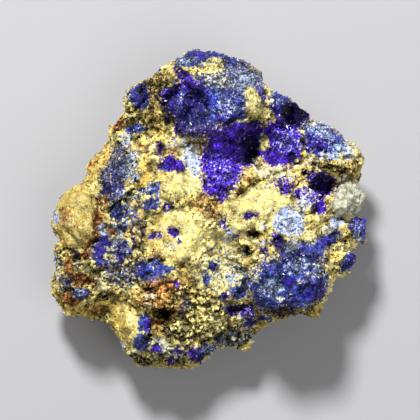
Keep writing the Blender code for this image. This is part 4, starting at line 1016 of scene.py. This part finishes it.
def buildScatterTree(name, shape):  # one small shape all over a surface, where an attribute says
    tree, given, out = newGroup(name, "GeometryNodeTree", {
        "Geometry": None, "Where": "crumbs", "Per square mm": 3.0, "Seed": 1,
        "Smallest": (0.2, 0.2, 0.2), "Largest": (0.5, 0.5, 0.5), "Tilt": 1.0, "Sink": 0.05,
        "Material": None}, {"Geometry": "Geometry"})
    perSquareMetre = times(tree, given["Per square mm"], 1e6)
    spread = put(tree, "GeometryNodeDistributePointsOnFaces", {
        "Mesh": given["Geometry"], "Seed": given["Seed"],
        "Density": times(tree, stored(tree, given["Where"]), perSquareMetre)}).outputs
    if shape == "blade":
        solid = put(tree, "GeometryNodeMeshCone", {
            "Vertices": 4, "Radius Top": 0.28, "Radius Bottom": 0.5, "Depth": 1.0}).outputs["Mesh"]
    else:
        ball = put(tree, "GeometryNodeMeshIcoSphere", {"Radius": 0.5, "Subdivisions": 1})
        dents = wobble(tree, noise(tree, None, 2.3)["Color"], 1.2)
        solid = put(tree, "GeometryNodeSetPosition", {
            "Geometry": ball.outputs["Mesh"], "Offset": dents}).outputs[0]
    tilt = put(tree, "ShaderNodeCombineXYZ", {0: given["Tilt"], 1: given["Tilt"], 2: 1.0})
    lean = randomVector(tree, (-1, -1, -math.pi), (1, 1, math.pi), given["Seed"], 1)
    lean = vectors(tree, "MULTIPLY", lean, tilt.outputs[0])
    spin = put(tree, "FunctionNodeEulerToRotation", {0: lean}).outputs[0]
    aim = put(tree, "FunctionNodeRotateRotation", {0: spread["Rotation"], 1: spin},
              rotation_space="LOCAL").outputs[0]
    size = randomVector(tree, given["Smallest"], given["Largest"], given["Seed"], 2)
    size = vectors(tree, "MULTIPLY", size, (mm, mm, mm))
    down = scaled(tree, spread["Normal"], times(tree, given["Sink"], -mm))
    sunk = put(tree, "GeometryNodeSetPosition", {"Geometry": spread["Points"], "Offset": down})
    copies = put(tree, "GeometryNodeInstanceOnPoints", {
        "Points": sunk.outputs[0], "Instance": solid, "Rotation": aim, "Scale": size}).outputs[0]
    chance = put(tree, "FunctionNodeRandomValue", {"Seed": given["Seed"]}, data_type="FLOAT")
    marked = store(tree, copies, "grain", chance.outputs[1], "INSTANCE")
    return endTree(tree, marked, given["Material"], out)


def wholeSurface(pieces, faceFrom=8, reach=4):  # all of them in one mesh; both are in mm
    covered = [surfaceTree(piece.data) for piece in pieces[1:]]
    whole = bmesh.new()
    for piece in pieces:
        whole.from_mesh(piece.data)
    mesh = bpy.data.meshes.new("surface")
    whole.to_mesh(mesh)
    whole.free()
    points = vertexTable(mesh)
    hidden = np.zeros(len(points), dtype=bool)
    for i in range(len(pieces[0].data.vertices)):  # the rock just under a crust
        hidden[i] = points[i, 2] >= faceFrom * mm and any(
            tree.ray_cast(Vector(points[i]), (0, 0, 1), reach * mm)[0] for tree in covered)
    for name in ("crumbs", "blades"):
        writeAttribute(mesh, name, np.where(hidden, 0, readAttribute(mesh, name)))
    return mesh


def scatter(name, surface, tree, settings, material):
    piece = linked(name, surface.copy())
    runTree(piece, tree, **settings, Material=material)
    keepInBox(piece.data)
    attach(piece, "root")
    print(name, triangleCount(piece.data))
    return piece


surface = wholeSurface([rock] + crusts + [knob])
onFace = ease(*heights["scatter"], vertexTable(surface)[:, 2] / mm)
writeAttribute(surface, "crumbs", readAttribute(surface, "crumbs") * (0.25 + 0.75 * onFace))
bladeShare = readAttribute(surface, "blades") * onFace
writeAttribute(surface, "azureBlades", bladeShare * (1 - readAttribute(surface, "violet")))
writeAttribute(surface, "violetBlades", bladeShare * readAttribute(surface, "violet"))
crumbTree = buildScatterTree("scatterCrumbs", "crumb")
bladeTree = buildScatterTree("scatterBlades", "blade")
looseCrumbs = {"Where": "crumbs", "Per square mm": 1.4, "Seed": 3, "Tilt": 1.5, "Sink": 0.1,
               "Smallest": (0.35, 0.35, 0.3), "Largest": (0.95, 0.85, 0.7)}
fineCrumbs = {"Where": "crumbs", "Per square mm": 1.7, "Seed": 13, "Tilt": 1.5, "Sink": 0.02,
              "Smallest": (0.15, 0.15, 0.15), "Largest": (0.42, 0.4, 0.36)}
azureBlades = {"Where": "azureBlades", "Per square mm": 6.0, "Seed": 23, "Tilt": 1.35,
               "Sink": 0.05, "Smallest": (0.14, 0.08, 0.14), "Largest": (0.36, 0.2, 0.4)}
violetBlades = {"Where": "violetBlades", "Per square mm": 7.0, "Seed": 29, "Tilt": 1.3,
                "Sink": 0.04, "Smallest": (0.14, 0.08, 0.16), "Largest": (0.36, 0.2, 0.5)}
for name, tree, settings, material, slotName in (
        ("looseCrumbs", crumbTree, looseCrumbs, rockMaterial, "matrix"),
        ("fineCrumbs", crumbTree, fineCrumbs, rockMaterial, "matrix"),
        ("azureBlades", bladeTree, azureBlades, bladeMaterial, "linarite_crust"),
        ("violetBlades", bladeTree, violetBlades, bladeMaterial, "linarite_druse")):
    scatter(name, surface, tree, settings, material)

# The studio: a plain floor, a key light from the upper left, a soft fill and a soft room.
studio = {
    "floor": tint(190, 190, 193), "floorRoughness": 0.9, "floorHalf": 0.6,
    "keyAt": (-0.09, 0.34, 0.46), "keySize": 0.1, "keyPower": 3.9,
    "fillAt": (0.25, -0.2, 0.6), "fillSize": 0.5, "fillPower": 1.0, "worldStrength": 0.18,
    "frameWidth": 65.9, "lookAt": (0.24, -0.16, 12.0), "distance": 0.6, "sensor": 36.0,
    "clipEnd": 10,
}


def addLight(name, at, size, power):
    light = bpy.data.lights.new(name, "AREA")
    light.shape, light.size, light.energy = "DISK", size, power
    lamp = linked(name, light)
    lamp.location = at
    lamp.rotation_euler = (-Vector(at)).to_track_quat("-Z", "Y").to_euler()


def buildStudio():
    size = studio["floorHalf"]
    corners = [(-size, -size, 0), (size, -size, 0), (size, size, 0), (-size, size, 0)]
    mesh = bpy.data.meshes.new("floor")
    mesh.from_pydata(corners, [], [(0, 1, 2, 3)])
    paper = bpy.data.materials.new("plainPaper")
    paper.use_nodes = True
    shader = paper.node_tree.nodes["Principled BSDF"]
    shader.inputs["Base Color"].default_value = studio["floor"]
    shader.inputs["Roughness"].default_value = studio["floorRoughness"]
    mesh.materials.append(paper)
    linked("floor", mesh)
    addLight("key", studio["keyAt"], studio["keySize"], studio["keyPower"])
    addLight("fill", studio["fillAt"], studio["fillSize"], studio["fillPower"])
    world = bpy.data.worlds.new("softRoom")
    world.use_nodes = True
    background = world.node_tree.nodes["Background"]
    background.inputs["Color"].default_value = (1, 1, 1, 1)
    background.inputs["Strength"].default_value = studio["worldStrength"]
    bpy.context.scene.world = world
    lens = bpy.data.cameras.new("camera")
    lens.sensor_width = studio["sensor"]
    lens.lens = studio["sensor"] * studio["distance"] / (studio["frameWidth"] * mm)
    lens.clip_end = studio["clipEnd"]
    camera = linked("camera", lens)
    camera.location = Vector(studio["lookAt"]) * mm + Vector((0, 0, studio["distance"]))
    bpy.context.scene.camera = camera
    bpy.context.scene.view_settings.view_transform = "Standard"


buildStudio()
print("studio built")
